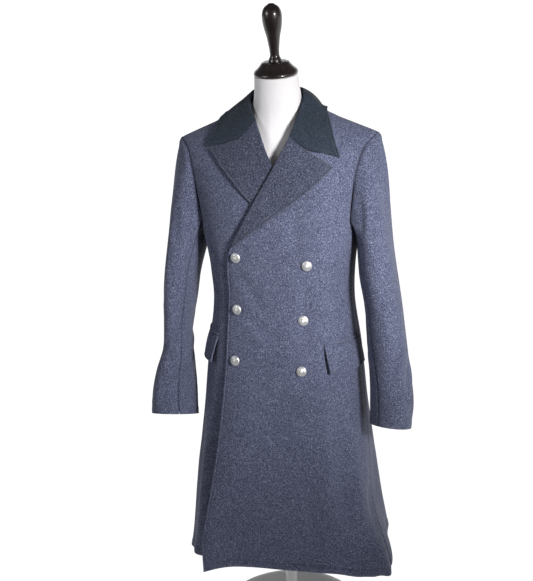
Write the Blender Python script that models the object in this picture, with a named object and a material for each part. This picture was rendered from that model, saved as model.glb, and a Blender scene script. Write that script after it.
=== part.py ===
"""A double-breasted greatcoat of melton cloth, standing on a limbless dress form.

Sizes are in metres. X runs to the viewer's right, which is the wearer's left, Y runs to the back
and Z runs up from the floor. Each piece that a maker cuts and sews is one closed solid.
"""
import math
from collections import namedtuple

import bmesh
import bpy
import numpy as np

# Cloth and seams
CLOTH = 0.0025
FELT = 0.0028
SEAM_GAP = 0.0003
LAYER_GAP = 0.0007

# Body of the coat
HEM_HEIGHT = 0.228
ARM_HEIGHT = 1.090
SHOULDER_TIP_X = 0.248
SHOULDER_TIP_HEIGHT = 1.325
SHOULDER_SLOPE = 0.40
# The shoulder seam bends up to the neck over the last of its run
SHOULDER_CURVE = 2.5
SHOULDER_CURVE_START = 0.09
SHOULDER_CURVE_RUN = 0.08
SHOULDER_TILT = 0.020
CHEST_HALF_WIDTH = 0.196
CHEST_FRONT = 0.138
CHEST_BACK = 0.126
CHEST_SQUARENESS = 2.5
SHOULDER_SPREAD = 0.066
SHOULDER_ROUND = 2.4
SHOULDER_EDGE = 1.6
# One full step of level takes the cloth from the armhole's foot to the shoulder seam
SHOULDER_LEVEL = 0.30
TOP_LEVEL = ARM_HEIGHT + SHOULDER_LEVEL

# A row for each height of the skirt and waist, the sizes of the coat's outer face there. The coat
# hangs a little over to its wearer's left at the waist, so centre_x is its middle there
Section = namedtuple("Section", "height half_width front back side_y squareness centre_x")
SECTIONS = (
    Section(0.228, 0.258, 0.178, 0.208, -0.062, 3.7, 0.0000),
    Section(0.340, 0.239, 0.172, 0.192, -0.046, 3.4, 0.0010),
    Section(0.470, 0.226, 0.163, 0.170, -0.030, 3.1, 0.0020),
    Section(0.630, 0.211, 0.150, 0.150, -0.015, 2.8, 0.0032),
    Section(0.790, 0.196, 0.140, 0.133, -0.004, 2.6, 0.0042),
    Section(0.920, 0.180, 0.131, 0.114, 0.000, 2.5, 0.0042),
    Section(1.000, 0.183, 0.134, 0.116, 0.000, 2.5, 0.0036),
    Section(ARM_HEIGHT, CHEST_HALF_WIDTH, CHEST_FRONT, CHEST_BACK, 0.000, CHEST_SQUARENESS, 0.0020),
)

# The largest folds of the skirt. turn and spread are degrees round the body from the front centre,
# and the fold grows from top down to the hem. over and under are how far the top front and the rest
# of the coat stand out or in there, and the two dips are how much lower their hems hang
Fold = namedtuple("Fold", "turn spread top over under over_dip under_dip")
FOLDS = (
    Fold(-36, 16, 0.80, 0.040, -0.018, 0.028, 0.000),
    Fold(-70, 12, 0.40, 0.000, -0.014, 0.000, -0.004),
    Fold(12, 18, 0.62, -0.004, -0.004, -0.002, 0.000),
    Fold(46, 14, 0.70, 0.003, 0.003, 0.007, 0.000),
    Fold(67, 13, 0.36, 0.012, 0.012, 0.012, 0.012),
    Fold(86, 11, 0.40, 0.034, 0.034, 0.024, 0.024),
    Fold(118, 11, 0.74, 0.012, 0.012, 0.000, 0.000),
    Fold(-96, 11, 0.60, -0.004, -0.004, 0.000, 0.000),
    Fold(-118, 12, 0.70, 0.013, 0.013, 0.000, 0.000),
    Fold(146, 10, 0.68, -0.010, -0.010, 0.000, 0.000),
    Fold(-148, 11, 0.64, -0.009, -0.009, 0.000, 0.000),
    Fold(172, 11, 0.76, 0.011, 0.011, 0.000, 0.000),
    Fold(-170, 10, 0.72, 0.010, 0.010, 0.000, 0.000),
)

# Places along a level that are measured to share out the cloth on it
TRACE_POINTS = 241
FRONT_COLUMNS = 11
BACK_COLUMNS = 9
# Rows of cloth: heights below the armholes, then shares of the way up to the shoulder seam
LOWER_HEIGHTS = (HEM_HEIGHT, 0.30, 0.38, 0.47, 0.56, 0.65, 0.73, 0.80, 0.86, 0.92, 0.98, 1.04)
ARM_SHARES = (0.0, 0.03, 0.085, 0.19, 0.32, 0.46, 0.60, 0.73, 0.85, 0.93, 0.975, 1.0)

# Armhole seam: how far round the body it lies at each share, in degrees from the front or back
Armhole = namedtuple("Armhole", "share front back")
ARMHOLE = (
    Armhole(0.0, 90.0, 90.0),
    Armhole(0.03, 80.0, 80.5),
    Armhole(0.085, 70.5, 73.0),
    Armhole(0.20, 67.0, 69.0),
    Armhole(0.32, 65.5, 66.5),
    Armhole(0.63, 61.0, 61.5),
    Armhole(0.85, 61.5, 61.5),
    Armhole(1.0, 69.0, 69.0),
)

# Free edge of the top front, then its roll line, as seen from the front
EdgePoint = namedtuple("EdgePoint", "x height")
OVER_EDGE = (
    EdgePoint(-0.168, HEM_HEIGHT), EdgePoint(-0.165, 0.303), EdgePoint(-0.1475, 0.445),
    EdgePoint(-0.135, 0.557), EdgePoint(-0.127, 0.666), EdgePoint(-0.117, 0.799),
    EdgePoint(-0.108, 0.928), EdgePoint(-0.095, 1.059),
)
OVER_ROLL = (
    EdgePoint(-0.095, 1.059), EdgePoint(-0.032, 1.170), EdgePoint(0.016, 1.252),
    EdgePoint(0.038, 1.295), EdgePoint(0.059, 1.340), EdgePoint(0.070, 1.378), EdgePoint(0.080, 1.4085),
)
# The under front's edge lies behind the top front, and its roll line mirrors the other one
UNDER_EDGE = (
    EdgePoint(0.070, HEM_HEIGHT), EdgePoint(0.074, 0.445), EdgePoint(0.080, 0.666),
    EdgePoint(0.090, 0.928), EdgePoint(0.104, 1.059),
)
UNDER_ROLL = (
    EdgePoint(0.104, 1.059), EdgePoint(0.058, 1.170), EdgePoint(0.017, 1.252),
    EdgePoint(-0.004, 1.297), EdgePoint(-0.024, 1.344), EdgePoint(-0.041, 1.378),
    EdgePoint(-0.078, 1.4073),
)
# The back neckline leaves the centre back at this share and ends at the shoulder seam
NECKLINE_SHARE = 0.825
NECK_POINT_X = 0.078

# How far the top front stands out, where it laps the under front and its lapel
LAP_OFFSET = 0.0046
LAPEL_LAP_OFFSET = 0.0038
LAP_END_X = 0.118
LAP_FADE = 0.055
LAP_TOP = 1.34
LAP_TOP_FADE = 0.06
LAPEL_LAP_FOOT = 0.96
LAPEL_LAP_FADE = 0.10
LAPEL_LAP_TOP = 1.33

# Lapel outlines seen from the front: break, points along the free edge, tip and gorge
OVER_LAPEL_EDGE = (
    EdgePoint(-0.093, 1.061), EdgePoint(-0.036, 1.106), EdgePoint(0.033, 1.154),
    EdgePoint(0.093, 1.200), EdgePoint(0.154, 1.256),
)
UNDER_LAPEL_EDGE = (
    EdgePoint(0.102, 1.061), EdgePoint(0.034, 1.112), EdgePoint(-0.033, 1.171),
    EdgePoint(-0.090, 1.232), EdgePoint(-0.151, 1.297),
)
OVER_GORGE = (EdgePoint(0.053, 1.326), EdgePoint(0.086, 1.299))
UNDER_GORGE = (EdgePoint(-0.035, 1.366), EdgePoint(-0.074, 1.322))
OVER_COLLAR_TIP = EdgePoint(0.168, 1.278)
UNDER_COLLAR_TIP = EdgePoint(-0.166, 1.3025)
GORGE_SHARE = 0.34
LAPEL_LIFT = 0.004
LAPEL_START = 0.05
LAPEL_ROWS = 13
LAPEL_COLUMNS = 8
NOTCH_COLUMN = 3
# The under lapel lies flat where the top front laps it, and stands off outside this half width
UNDER_LAPEL_FADE = 0.09

# Collar: a row for each section from the viewer's right end, round the back, to the left end.
# roll is the top edge by the neck, mid lies half way down the fall and edge is its outer edge
CollarSection = namedtuple("CollarSection", "place roll mid edge")
COLLAR = (
    CollarSection(0.00, (0.0535, -0.092, 1.3275), (0.087, -0.098, 1.3015), (0.167, -0.080, 1.278)),
    CollarSection(0.12, (0.0680, -0.052, 1.385), (0.104, -0.068, 1.344), (0.145, -0.055, 1.324)),
    CollarSection(0.26, (0.0710, -0.012, 1.424), (0.097, -0.012, 1.405), (0.122, -0.010, 1.375)),
    CollarSection(0.38, (0.0520, 0.032, 1.432), (0.079, 0.055, 1.405), (0.096, 0.070, 1.367)),
    CollarSection(0.50, (0.0050, 0.048, 1.434), (0.003, 0.079, 1.405), (0.000, 0.096, 1.365)),
    CollarSection(0.62, (-0.0420, 0.032, 1.431), (-0.075, 0.055, 1.403), (-0.098, 0.070, 1.365)),
    CollarSection(0.74, (-0.0550, -0.012, 1.421), (-0.093, -0.012, 1.400), (-0.132, -0.010, 1.371)),
    CollarSection(0.88, (-0.0505, -0.044, 1.394), (-0.098, -0.062, 1.357), (-0.150, -0.048, 1.336)),
    CollarSection(1.00, (-0.0360, -0.074, 1.3675), (-0.075, -0.090, 1.3235), (-0.165, -0.068, 1.3025)),
)
COLLAR_LIFT = 0.0030
COLLAR_COLUMNS = 27
COLLAR_ROWS = 8
COLLAR_NOTCH_ROW = 4
COLLAR_END_SHARE = 0.10
NECK_INSIDE = np.array([0.0, -0.02, 1.30])
STAND_FOOT_HEIGHT = 1.409
STAND_FOOT_HALF_WIDTH = 0.0755
STAND_FOOT_DEPTH = 0.073
STAND_END_SPREAD = 0.20
STAND_END_FADE = 0.14
STAND_COLUMNS = 19
STAND_ROWS = 3
STAND_CENTRE_Y = -0.012
STAND_LEAST_DEPTH = 0.006
STAND_INSET = 0.012
STAND_START = 0.20
STAND_END = 0.79

# Sleeves: a row for each ring below the armhole. x, y and height are its centre, wide and deep its
# half sizes across and front to back. twist turns it, in degrees, and rise tips its front up
Ring = namedtuple("Ring", "height x y wide deep twist rise")
SLEEVES = {
    "left": (
        Ring(1.050, 0.2415, -0.012, 0.0450, 0.084, 3, 0.12),
        Ring(0.980, 0.2515, -0.030, 0.0480, 0.081, 6, 0.18),
        Ring(0.910, 0.2645, -0.042, 0.0470, 0.078, 9, 0.20),
        Ring(0.840, 0.2715, -0.048, 0.0490, 0.076, 12, 0.22),
        Ring(0.775, 0.2785, -0.053, 0.0500, 0.075, 15, 0.24),
        Ring(0.715, 0.2855, -0.060, 0.0520, 0.074, 18, 0.26),
        Ring(0.655, 0.2870, -0.067, 0.0520, 0.074, 20, 0.28),
        Ring(0.605, 0.2855, -0.072, 0.0500, 0.074, 20, 0.30),
    ),
    "right": (
        Ring(1.050, 0.2440, -0.012, 0.0465, 0.084, 3, 0.12),
        Ring(0.980, 0.2555, -0.030, 0.0405, 0.078, 3, 0.18),
        Ring(0.910, 0.2615, -0.042, 0.0370, 0.072, 4, 0.20),
        Ring(0.840, 0.2695, -0.048, 0.0305, 0.069, 2, 0.22),
        Ring(0.775, 0.2710, -0.053, 0.0330, 0.069, 4, 0.25),
        Ring(0.715, 0.2790, -0.060, 0.0435, 0.072, 10, 0.29),
        Ring(0.655, 0.2835, -0.067, 0.0510, 0.075, 14, 0.33),
        Ring(0.598, 0.2840, -0.072, 0.0535, 0.075, 14, 0.36),
    ),
}
# How far each cuff drops toward its outer side, for each metre across
CUFF_DROP = {"left": 0.05, "right": 0.03}
CAP_SHARES = (0.0, 0.14, 0.32, 0.54, 0.77)
# How the cap leaves the armhole: out, forward and down at the shoulder, and how that changes at its
# front and back. The fullness bows it out before it falls into the arm
CAP_OUT = 0.38
CAP_OUT_SIDEWAYS = 0.30
CAP_FORWARD = 0.35
CAP_DOWN = 0.88
CAP_DOWN_SIDEWAYS = 0.33
CAP_FULLNESS = 0.95
# Share of the way round to the underarm where the sleeve starts to lie outside the cloth
UNDERARM_FROM = 0.40
UNDERARM_FADE = 0.25
CUFF_DROP_RUN = 0.40
FRONT_SEAM = 9
BACK_SEAM_FROM_END = 8

# Pocket flaps on the fronts: along the cloth from the front corner, and down from the seam
Flap = namedtuple("Flap", "side x height length drop slant tilt")
FLAPS = (
    Flap("left", 0.128, 0.824, 0.135, 0.070, 0.012, -0.002),
    Flap("right", -0.143, 0.830, 0.125, 0.069, 0.012, 0.004),
)
FLAP_LIFT = 0.011
FLAP_BACK_LIFT = 0.45
FLAP_ROWS = 5
FLAP_COLUMNS = 9
FLAP_TOP_SHARE = 0.02
WELT_HEIGHT = 0.006
WELT_THICK = 0.0028

# Buttons: a turned dome on a shank
ButtonPlace = namedtuple("ButtonPlace", "name x height")
BUTTONS = (
    ButtonPlace("button_right_1", -0.080, 1.043), ButtonPlace("button_right_2", -0.085, 0.909),
    ButtonPlace("button_right_3", -0.092, 0.779), ButtonPlace("button_left_1", 0.094, 1.027),
    ButtonPlace("button_left_2", 0.081, 0.888), ButtonPlace("button_left_3", 0.077, 0.762),
)
BUTTON_GAP = 0.0008
BUTTON_RADIUS = 0.0125
BUTTON_DOME = 0.0050
BUTTON_RIM = 0.0014
SHANK_RADIUS = 0.0030
SHANK_LENGTH = 0.0016
BUTTON_SEGMENTS = 18

# Dress form, its neck and what stands on it and under it
FORM_FOOT = 0.700
NECK_TOP = 1.470
NECK_LEAN = math.radians(10.0)
NECK_CENTRE_X = 0.008
NECK_CENTRE_Y = -0.0300
NECK_CENTRE_HEIGHT = 1.455
NeckSection = namedtuple("NeckSection", "height radius")
NECK = (
    NeckSection(1.160, 0.020), NeckSection(1.260, 0.060), NeckSection(1.380, 0.0610),
    NeckSection(1.400, 0.0590), NeckSection(1.420, 0.0570), NeckSection(1.445, 0.0540),
    NeckSection(NECK_TOP, 0.0525),
)
FORM_CLEARANCE = 0.012
SHOULDER_CLEARANCE = 0.017
RIDGE_CLEARANCE = 0.0038
# The form's shoulders slope away a little more where they run into the neck
NECK_BASE_DROP = 0.013
NECK_BASE_X = 0.080
NECK_BASE_FADE = 0.045
# The form narrows more inside the coat above this height, over this fade
FORM_CHEST = 1.20
FORM_CHEST_FADE = 0.10
FORM_SPREAD = 0.044
FORM_LEAST = 0.001
FORM_MOST = 0.32
FORM_SEARCH_STEPS = 40
FORM_BLEND = 9.0
FORM_SEGMENTS = 32
FORM_HEIGHTS = (
    FORM_FOOT, 0.76, 0.84, 0.92, 1.00, 1.08, 1.15, 1.21, 1.255, 1.285, 1.305, 1.320, 1.335, 1.350,
    1.365, 1.380, 1.395, 1.412, 1.430, 1.450, NECK_TOP,
)
CAP_SEGMENTS = 32
FINIAL_SEGMENTS = 24
POLE_RADIUS = 0.015
POLE_SEGMENTS = 24
BASE_RADIUS = 0.190
BASE_HEIGHT = 0.010
BASE_BEVEL = 0.003
BASE_SEGMENTS = 48

TurnPoint = namedtuple("TurnPoint", "radius height")
NECK_CAP_PROFILE = (
    TurnPoint(0.0515, 0.0000), TurnPoint(0.0530, 0.0020), TurnPoint(0.0535, 0.0050),
    TurnPoint(0.0520, 0.0085), TurnPoint(0.0460, 0.0140), TurnPoint(0.0400, 0.0200),
    TurnPoint(0.0355, 0.0255), TurnPoint(0.0330, 0.0285), TurnPoint(0.0270, 0.0305),
)
FINIAL_PROFILE = (
    TurnPoint(0.0165, 0.0000), TurnPoint(0.0150, 0.0050), TurnPoint(0.0118, 0.0120),
    TurnPoint(0.0115, 0.0220), TurnPoint(0.0134, 0.0400), TurnPoint(0.0163, 0.0585),
    TurnPoint(0.0208, 0.0770), TurnPoint(0.0235, 0.0960), TurnPoint(0.0238, 0.1060),
    TurnPoint(0.0222, 0.1165), TurnPoint(0.0170, 0.1260), TurnPoint(0.0080, 0.1325),
)

COLOURS = {
    "wool": (0.085, 0.095, 0.145, 1.0),
    "felt": (0.040, 0.055, 0.070, 1.0),
    "metal": (0.52, 0.52, 0.54, 1.0),
    "jersey": (0.86, 0.85, 0.86, 1.0),
    "wood": (0.022, 0.013, 0.012, 1.0),
    "stand": (0.80, 0.80, 0.80, 1.0),
}


def clear_scene():
    for thing in list(bpy.data.objects):
        bpy.data.objects.remove(thing, do_unlink=True)


def material(name):
    made = bpy.data.materials.get(name)
    if made is None:
        made = bpy.data.materials.new(name)
        made.use_nodes = True
        surface = made.node_tree.nodes["Principled BSDF"]
        surface.inputs["Base Color"].default_value = COLOURS[name]
        surface.inputs["Metallic"].default_value = 1.0 if name == "metal" else 0.0
        surface.inputs["Roughness"].default_value = {"metal": 0.35, "wood": 0.2}.get(name, 0.8)
    return made


def add_solid(name, points, faces, finish):
    mesh = bpy.data.meshes.new(name)
    mesh.from_pydata([tuple(float(value) for value in point) for point in points], [], faces)
    shell = bmesh.new()
    shell.from_mesh(mesh)
    bmesh.ops.recalc_face_normals(shell, faces=shell.faces)
    shell.to_mesh(mesh)
    shell.free()
    mesh.shade_smooth()
    mesh.set_sharp_from_angle(angle=math.radians(40.0))
    mesh.materials.append(material(finish))
    solid = bpy.data.objects.new(name, mesh)
    bpy.context.scene.collection.objects.link(solid)
    return solid


def smooth(places, values, at):
    """A smooth curve through the values, like a flexible batten held at each place."""
    places = np.asarray(places, float)
    values = np.asarray(values, float)
    at = np.clip(np.asarray(at, float), places[0], places[-1])
    slopes = np.gradient(values, places)
    cell = np.clip(np.searchsorted(places, at, side="right") - 1, 0, len(places) - 2)
    width = places[cell + 1] - places[cell]
    t = (at - places[cell]) / width
    start = (1 + 2 * t) * (1 - t) ** 2 * values[cell] + t * (1 - t) ** 2 * width * slopes[cell]
    end = t * t * (3 - 2 * t) * values[cell + 1] - t * t * (1 - t) * width * slopes[cell + 1]
    return start + end


def ease(amount):
    amount = np.clip(amount, 0.0, 1.0)
    return amount * amount * (3 - 2 * amount)


def shoulder_height(x):
    reach = SHOULDER_TIP_X - np.abs(x)
    bend = np.clip(reach - SHOULDER_CURVE_START, 0.0, SHOULDER_CURVE_RUN)
    past = np.maximum(reach - SHOULDER_CURVE_START - SHOULDER_CURVE_RUN, 0.0)
    rise = SHOULDER_SLOPE * reach + SHOULDER_CURVE * (bend ** 2 + 2 * bend * past)
    return SHOULDER_TIP_HEIGHT + rise + SHOULDER_TILT * x


def share_of(level):
    return np.clip((np.asarray(level, float) - ARM_HEIGHT) / SHOULDER_LEVEL, 0.0, 1.0)


def ring_sizes(level):
    """Half width, front and back depths, side seam's y and squareness of the coat at a level."""
    heights = [row.height for row in SECTIONS]
    half_width = smooth(heights, [row.half_width for row in SECTIONS], level)
    front = smooth(heights, [row.front for row in SECTIONS], level)
    back = smooth(heights, [row.back for row in SECTIONS], level)
    side_y = smooth(heights, [row.side_y for row in SECTIONS], level)
    squareness = smooth(heights, [row.squareness for row in SECTIONS], level)
    share = share_of(level)
    closing = np.maximum(1 - share ** SHOULDER_ROUND, 0) ** (1 / SHOULDER_EDGE)
    half_width = half_width + SHOULDER_SPREAD * share ** 1.5
    return half_width, front * closing, back * closing, side_y, squareness


def centre_x(level):
    """Where the middle of the coat lies at a level: above the armholes it comes back to 0."""
    shift = smooth([row.height for row in SECTIONS], [row.centre_x for row in SECTIONS], level)
    return shift * (1 - share_of(level)) ** 2


def fold_reach(level, turn, over):
    """How far the skirt's folds push the cloth out at a place, and how far they let it dip."""
    reach = np.zeros(np.broadcast(level, turn).shape)
    dip = np.zeros_like(reach)
    degrees = np.degrees(turn)
    for fold in FOLDS:
        away = (degrees - fold.turn + 180.0) % 360.0 - 180.0
        grown = ease((fold.top - np.asarray(level)) / (fold.top - HEM_HEIGHT))
        shape = grown * np.exp(-((away / fold.spread) ** 2))
        reach = reach + (fold.over if over else fold.under) * shape
        dip = dip + (fold.over_dip if over else fold.under_dip) * shape
    return reach, dip


def body(level, turn, over=False):
    """Points on the coat's outer face. turn runs from the front centre, + to the viewer's right."""
    level, turn = np.broadcast_arrays(np.asarray(level, float), np.asarray(turn, float))
    half_width, front, back, side_y, squareness = ring_sizes(level)
    across = np.sin(turn)
    along = np.cos(turn)
    x = centre_x(level) + half_width * np.sign(across) * np.abs(across) ** (2 / squareness)
    depth = np.where(along > 0, front + side_y, back - side_y)
    y = side_y - np.sign(along) * depth * np.abs(along) ** (2 / squareness)
    share = share_of(level)
    height = np.where(level <= ARM_HEIGHT, level, ARM_HEIGHT + share * (shoulder_height(x) - ARM_HEIGHT))
    reach, dip = fold_reach(level, turn, over)
    radius = np.maximum(np.hypot(x, y), 1e-6)
    return np.stack([x * (1 + reach / radius), y * (1 + reach / radius), height - dip], axis=-1)


def body_normal(level, turn, over=False):
    step = 0.0004
    level = np.clip(np.asarray(level, float), HEM_HEIGHT + step, TOP_LEVEL - step)
    upward = body(level + step, turn, over) - body(level - step, turn, over)
    round_it = body(level, turn + step * 5, over) - body(level, turn - step * 5, over)
    normal = np.cross(round_it, upward)
    return normal / np.linalg.norm(normal, axis=-1, keepdims=True)


def level_of(x, height):
    share = (height - ARM_HEIGHT) / (shoulder_height(x) - ARM_HEIGHT)
    return np.where(height <= ARM_HEIGHT, height, ARM_HEIGHT + SHOULDER_LEVEL * np.clip(share, 0, 1))


def turn_of(x, level, back=False):
    half_width, _, _, _, squareness = ring_sizes(level)
    across = x - centre_x(level)
    ratio = np.clip(np.abs(across) / half_width, 0.0, 1.0)
    turn = np.sign(across) * np.arcsin(ratio ** (squareness / 2))
    return np.where(back, math.pi - turn, turn) if back else turn


def edge_turns(points, levels):
    """Where an edge drawn from the front crosses each level."""
    x = np.array([point.x for point in points])
    height = np.array([point.height for point in points])
    crossing = smooth(level_of(x, height), x, levels)
    return turn_of(crossing, levels)


def armhole_turns(levels, back):
    shares = [row.share for row in ARMHOLE]
    degrees = [row.back if back else row.front for row in ARMHOLE]
    turns = np.radians(smooth(shares, degrees, share_of(levels)))
    turns = np.where(levels < ARM_HEIGHT, math.pi / 2, turns)
    return math.pi - turns if back else turns


def even_turns(level, first, last, count, over, first_gap=0.0, last_gap=0.0):
    """Turns that share out the cloth evenly between two places on one level."""
    turns = np.linspace(first, last, TRACE_POINTS)
    points = body(level, turns, over)
    run = np.concatenate([[0.0], np.cumsum(np.linalg.norm(np.diff(points, axis=0), axis=1))])
    return np.interp(np.linspace(first_gap, run[-1] - last_gap, count), run, turns)


def panel_turns(levels, first, last, count, over=False, first_gap=0.0, last_gap=0.0):
    rows = [even_turns(level, a, b, count, over, first_gap, last_gap)
            for level, a, b in zip(levels, first, last)]
    return np.array(rows)


def panel_levels():
    upper = [ARM_HEIGHT + SHOULDER_LEVEL * share for share in ARM_SHARES]
    return np.array(list(LOWER_HEIGHTS) + upper)


def grid_normals(points, centres, closed=False):
    """Normals of a grid of points, facing away from the centres. Closed rows run round a piece."""
    if closed:
        across = np.roll(points, -1, axis=1) - np.roll(points, 1, axis=1)
    else:
        across = np.gradient(points, axis=1)
    normals = np.cross(across, np.gradient(points, axis=0))
    if np.sum(normals * (points - centres)) < 0:
        normals = -normals
    return normals / np.linalg.norm(normals, axis=-1, keepdims=True)


def wall(name, outer, inner, finish):
    """A closed sheet of cloth between two grids of points."""
    rows, columns = outer.shape[:2]
    points = np.concatenate([outer.reshape(-1, 3), inner.reshape(-1, 3)])
    shift = rows * columns
    faces = []
    for row in range(rows - 1):
        for column in range(columns - 1):
            a = row * columns + column
            b, c, d = a + 1, a + columns + 1, a + columns
            faces.append((a, b, c, d))
            faces.append((shift + d, shift + c, shift + b, shift + a))
    rim = list(range(columns))
    rim += [row * columns + columns - 1 for row in range(1, rows)]
    rim += [(rows - 1) * columns + column for column in range(columns - 2, -1, -1)]
    rim += [row * columns for row in range(rows - 2, 0, -1)]
    for a, b in zip(rim, rim[1:] + rim[:1]):
        faces.append((b, a, shift + a, shift + b))
    return add_solid(name, points, faces, finish)


def lap_offset(points):
    """How far the top front stands off the coat's plain surface to clear what it laps."""
    x = points[..., 0]
    height = points[..., 2]
    inside = 1 - ease((x - LAP_END_X) / LAP_FADE)
    over_front = 1 - ease((height - LAP_TOP) / LAP_TOP_FADE)
    over_lapel = ease((height - LAPEL_LAP_FOOT) / LAPEL_LAP_FADE)
    over_lapel = over_lapel * (1 - ease((height - LAPEL_LAP_TOP) / LAP_TOP_FADE))
    return inside * (LAP_OFFSET * over_front + LAPEL_LAP_OFFSET * over_lapel)


def front_panel(side):
    """One front, from its free edge and roll line to the side seam and armhole."""
    over = side == "left"
    sign = 1 if over else -1
    levels = panel_levels()
    edge = OVER_EDGE + OVER_ROLL[1:] if over else UNDER_EDGE + UNDER_ROLL[1:]
    inner_turns = edge_turns(edge, levels)
    outer_turns = sign * armhole_turns(levels, back=False)
    turns = panel_turns(levels, inner_turns, outer_turns, FRONT_COLUMNS, over, 0.0, SEAM_GAP / 2)
    points = body(levels[:, None], turns, over)
    normals = body_normal(levels[:, None], turns, over)
    offset = lap_offset(points) if over else np.zeros(points.shape[:2])
    outer = points + normals * offset[..., None]
    outer[-1, :, 1] -= SEAM_GAP / 2
    inner = outer - shoulder_mitre(normals) * CLOTH
    wall("front_" + side, outer, inner, "wool")


def shoulder_mitre(normals):
    """Turn the shoulder seam's thickness straight across the seam, so that both panels meet there."""
    normals[-1, :, 1] = 0.0
    normals[-1] /= np.linalg.norm(normals[-1], axis=-1, keepdims=True)
    return normals


def neckline_turns(levels):
    """The back's inner edge: the centre back seam, then the curve of the neckline."""
    share = share_of(levels)
    rise = np.clip((1 - share) / (1 - NECKLINE_SHARE), 0.0, 1.0)
    x = NECK_POINT_X * np.sqrt(1 - rise ** 2)
    return turn_of(centre_x(levels) + x, levels, back=True)


def back_panel(side):
    sign = 1 if side == "left" else -1
    levels = panel_levels()
    side_turns = armhole_turns(levels, back=True)
    centre_turns = neckline_turns(levels)
    turns = panel_turns(levels, sign * side_turns, sign * centre_turns, BACK_COLUMNS, False,
                        SEAM_GAP / 2, SEAM_GAP / 2)
    outer = body(levels[:, None], turns)
    normals = body_normal(levels[:, None], turns)
    outer[-1, :, 1] += SEAM_GAP / 2
    inner = outer - shoulder_mitre(normals) * CLOTH
    wall("back_" + side, outer, inner, "wool")


def armhole_ring(side):
    """The armhole seam from the shoulder tip, down the front, and up the back, with its normals."""
    sign = 1 if side == "left" else -1
    over = side == "left"
    levels = np.array([ARM_HEIGHT + SHOULDER_LEVEL * share for share in ARM_SHARES])
    front = sign * armhole_turns(levels, back=False)
    back = sign * armhole_turns(levels, back=True)
    ring_levels = np.concatenate([levels[::-1], levels[1:-1]])
    ring_turns = np.concatenate([front[::-1], back[1:-1]])
    points = body(ring_levels, ring_turns, over)
    normals = body_normal(ring_levels, ring_turns, over)
    normals[0, 1] = 0.0
    normals[0] /= np.linalg.norm(normals[0])
    along = np.roll(points, -1, axis=0) - np.roll(points, 1, axis=0)
    outward = -sign * np.cross(along, normals)
    outward /= np.linalg.norm(outward, axis=-1, keepdims=True)
    return points + outward * SEAM_GAP, normals


def sleeve_rings(side, angles):
    """Rings of the sleeve below the armhole, as points round each ring."""
    sign = 1 if side == "left" else -1
    rings = []
    for row in SLEEVES[side]:
        twist = math.radians(row.twist)
        across = row.wide * np.cos(angles)
        forward = row.deep * np.sin(angles)
        x = row.x + across * math.cos(twist) + forward * math.sin(twist)
        y = row.y - forward * math.cos(twist) + across * math.sin(twist)
        drop = CUFF_DROP[side] * ease((SLEEVES[side][0].height - row.height) / CUFF_DROP_RUN)
        height = row.height - (y - row.y) * row.rise - (x - row.x) * drop
        rings.append(np.stack([sign * x, y, height], axis=-1))
    return np.array(rings)


def sleeve_grid(side):
    """The whole sleeve, cap and arm, as rings from the armhole down to the cuff."""
    sign = 1 if side == "left" else -1
    start, start_normals = armhole_ring(side)
    gaps = np.linalg.norm(np.roll(start, -1, axis=0) - start, axis=1)
    run = np.concatenate([[0.0], np.cumsum(gaps)])[:-1]
    half = len(ARM_SHARES) - 1
    angles = np.where(np.arange(len(start)) <= half, math.pi * run / run[half],
                      math.pi + math.pi * (run - run[half]) / (gaps.sum() - run[half]))
    # Under the arm the sleeve turns back down beside the body, so it starts outside the cloth there
    underarm = np.minimum(angles, 2 * math.pi - angles) / math.pi
    beside = ease((underarm - UNDERARM_FROM) / UNDERARM_FADE)[:, None]
    start = start + start_normals * SEAM_GAP * 2 * beside
    rings = sleeve_rings(side, angles)
    sideways = np.sin(angles) ** 2
    leave = np.stack([sign * (CAP_OUT + CAP_OUT_SIDEWAYS * sideways), -CAP_FORWARD * np.sin(angles),
                      CAP_DOWN_SIDEWAYS * sideways - CAP_DOWN], axis=-1)
    arrive = rings[1] - rings[0]
    arrive /= np.linalg.norm(arrive, axis=-1, keepdims=True)
    reach = np.linalg.norm(rings[0] - start, axis=-1)[:, None] * CAP_FULLNESS
    rows = []
    for t in CAP_SHARES:
        rows.append((1 + 2 * t) * (1 - t) ** 2 * start + t * (1 - t) ** 2 * reach * leave
                    + t * t * (3 - 2 * t) * rings[0] - t * t * (1 - t) * reach * arrive)
    return np.concatenate([np.array(rows), rings]), start_normals, beside


def sleeve(side):
    """The two-piece sleeve: a topsleeve outside and an undersleeve by the body."""
    outer, start_normals, beside = sleeve_grid(side)
    normals = grid_normals(outer, outer.mean(axis=1, keepdims=True), closed=True)
    normals[0] = start_normals * (1 - beside) + normals[0] * beside
    normals[0] /= np.linalg.norm(normals[0], axis=-1, keepdims=True)
    inner = outer - normals * CLOTH
    count = outer.shape[1]
    back_seam = count - BACK_SEAM_FROM_END
    under = list(range(FRONT_SEAM, back_seam + 1))
    top = list(range(back_seam, count)) + list(range(0, FRONT_SEAM + 1))
    for name, columns in (("topsleeve_", top), ("undersleeve_", under)):
        face = outer[:, columns].copy()
        lining_side = inner[:, columns].copy()
        for end, beside in ((0, 1), (-1, -2)):
            draw_in = face[:, beside] - face[:, end]
            draw_in *= SEAM_GAP / np.linalg.norm(draw_in, axis=-1, keepdims=True)
            face[:, end] += draw_in
            lining_side[:, end] += draw_in
        wall(name + side, face, lining_side, "wool")


def front_points(x, height, over):
    """Points and normals on a front seen at x and height."""
    level = level_of(x, height)
    turn = turn_of(x, level)
    return body(level, turn, over), body_normal(level, turn, over)


def path_points(points, count, start=0.0):
    """Points along a smooth outline, evenly shared by its length."""
    x = np.array([point.x for point in points])
    height = np.array([point.height for point in points])
    run = np.concatenate([[0.0], np.cumsum(np.hypot(np.diff(x), np.diff(height)))])
    at = np.linspace(start, 1.0, count) * run[-1]
    return smooth(run, x, at), smooth(run, height, at)


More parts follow.
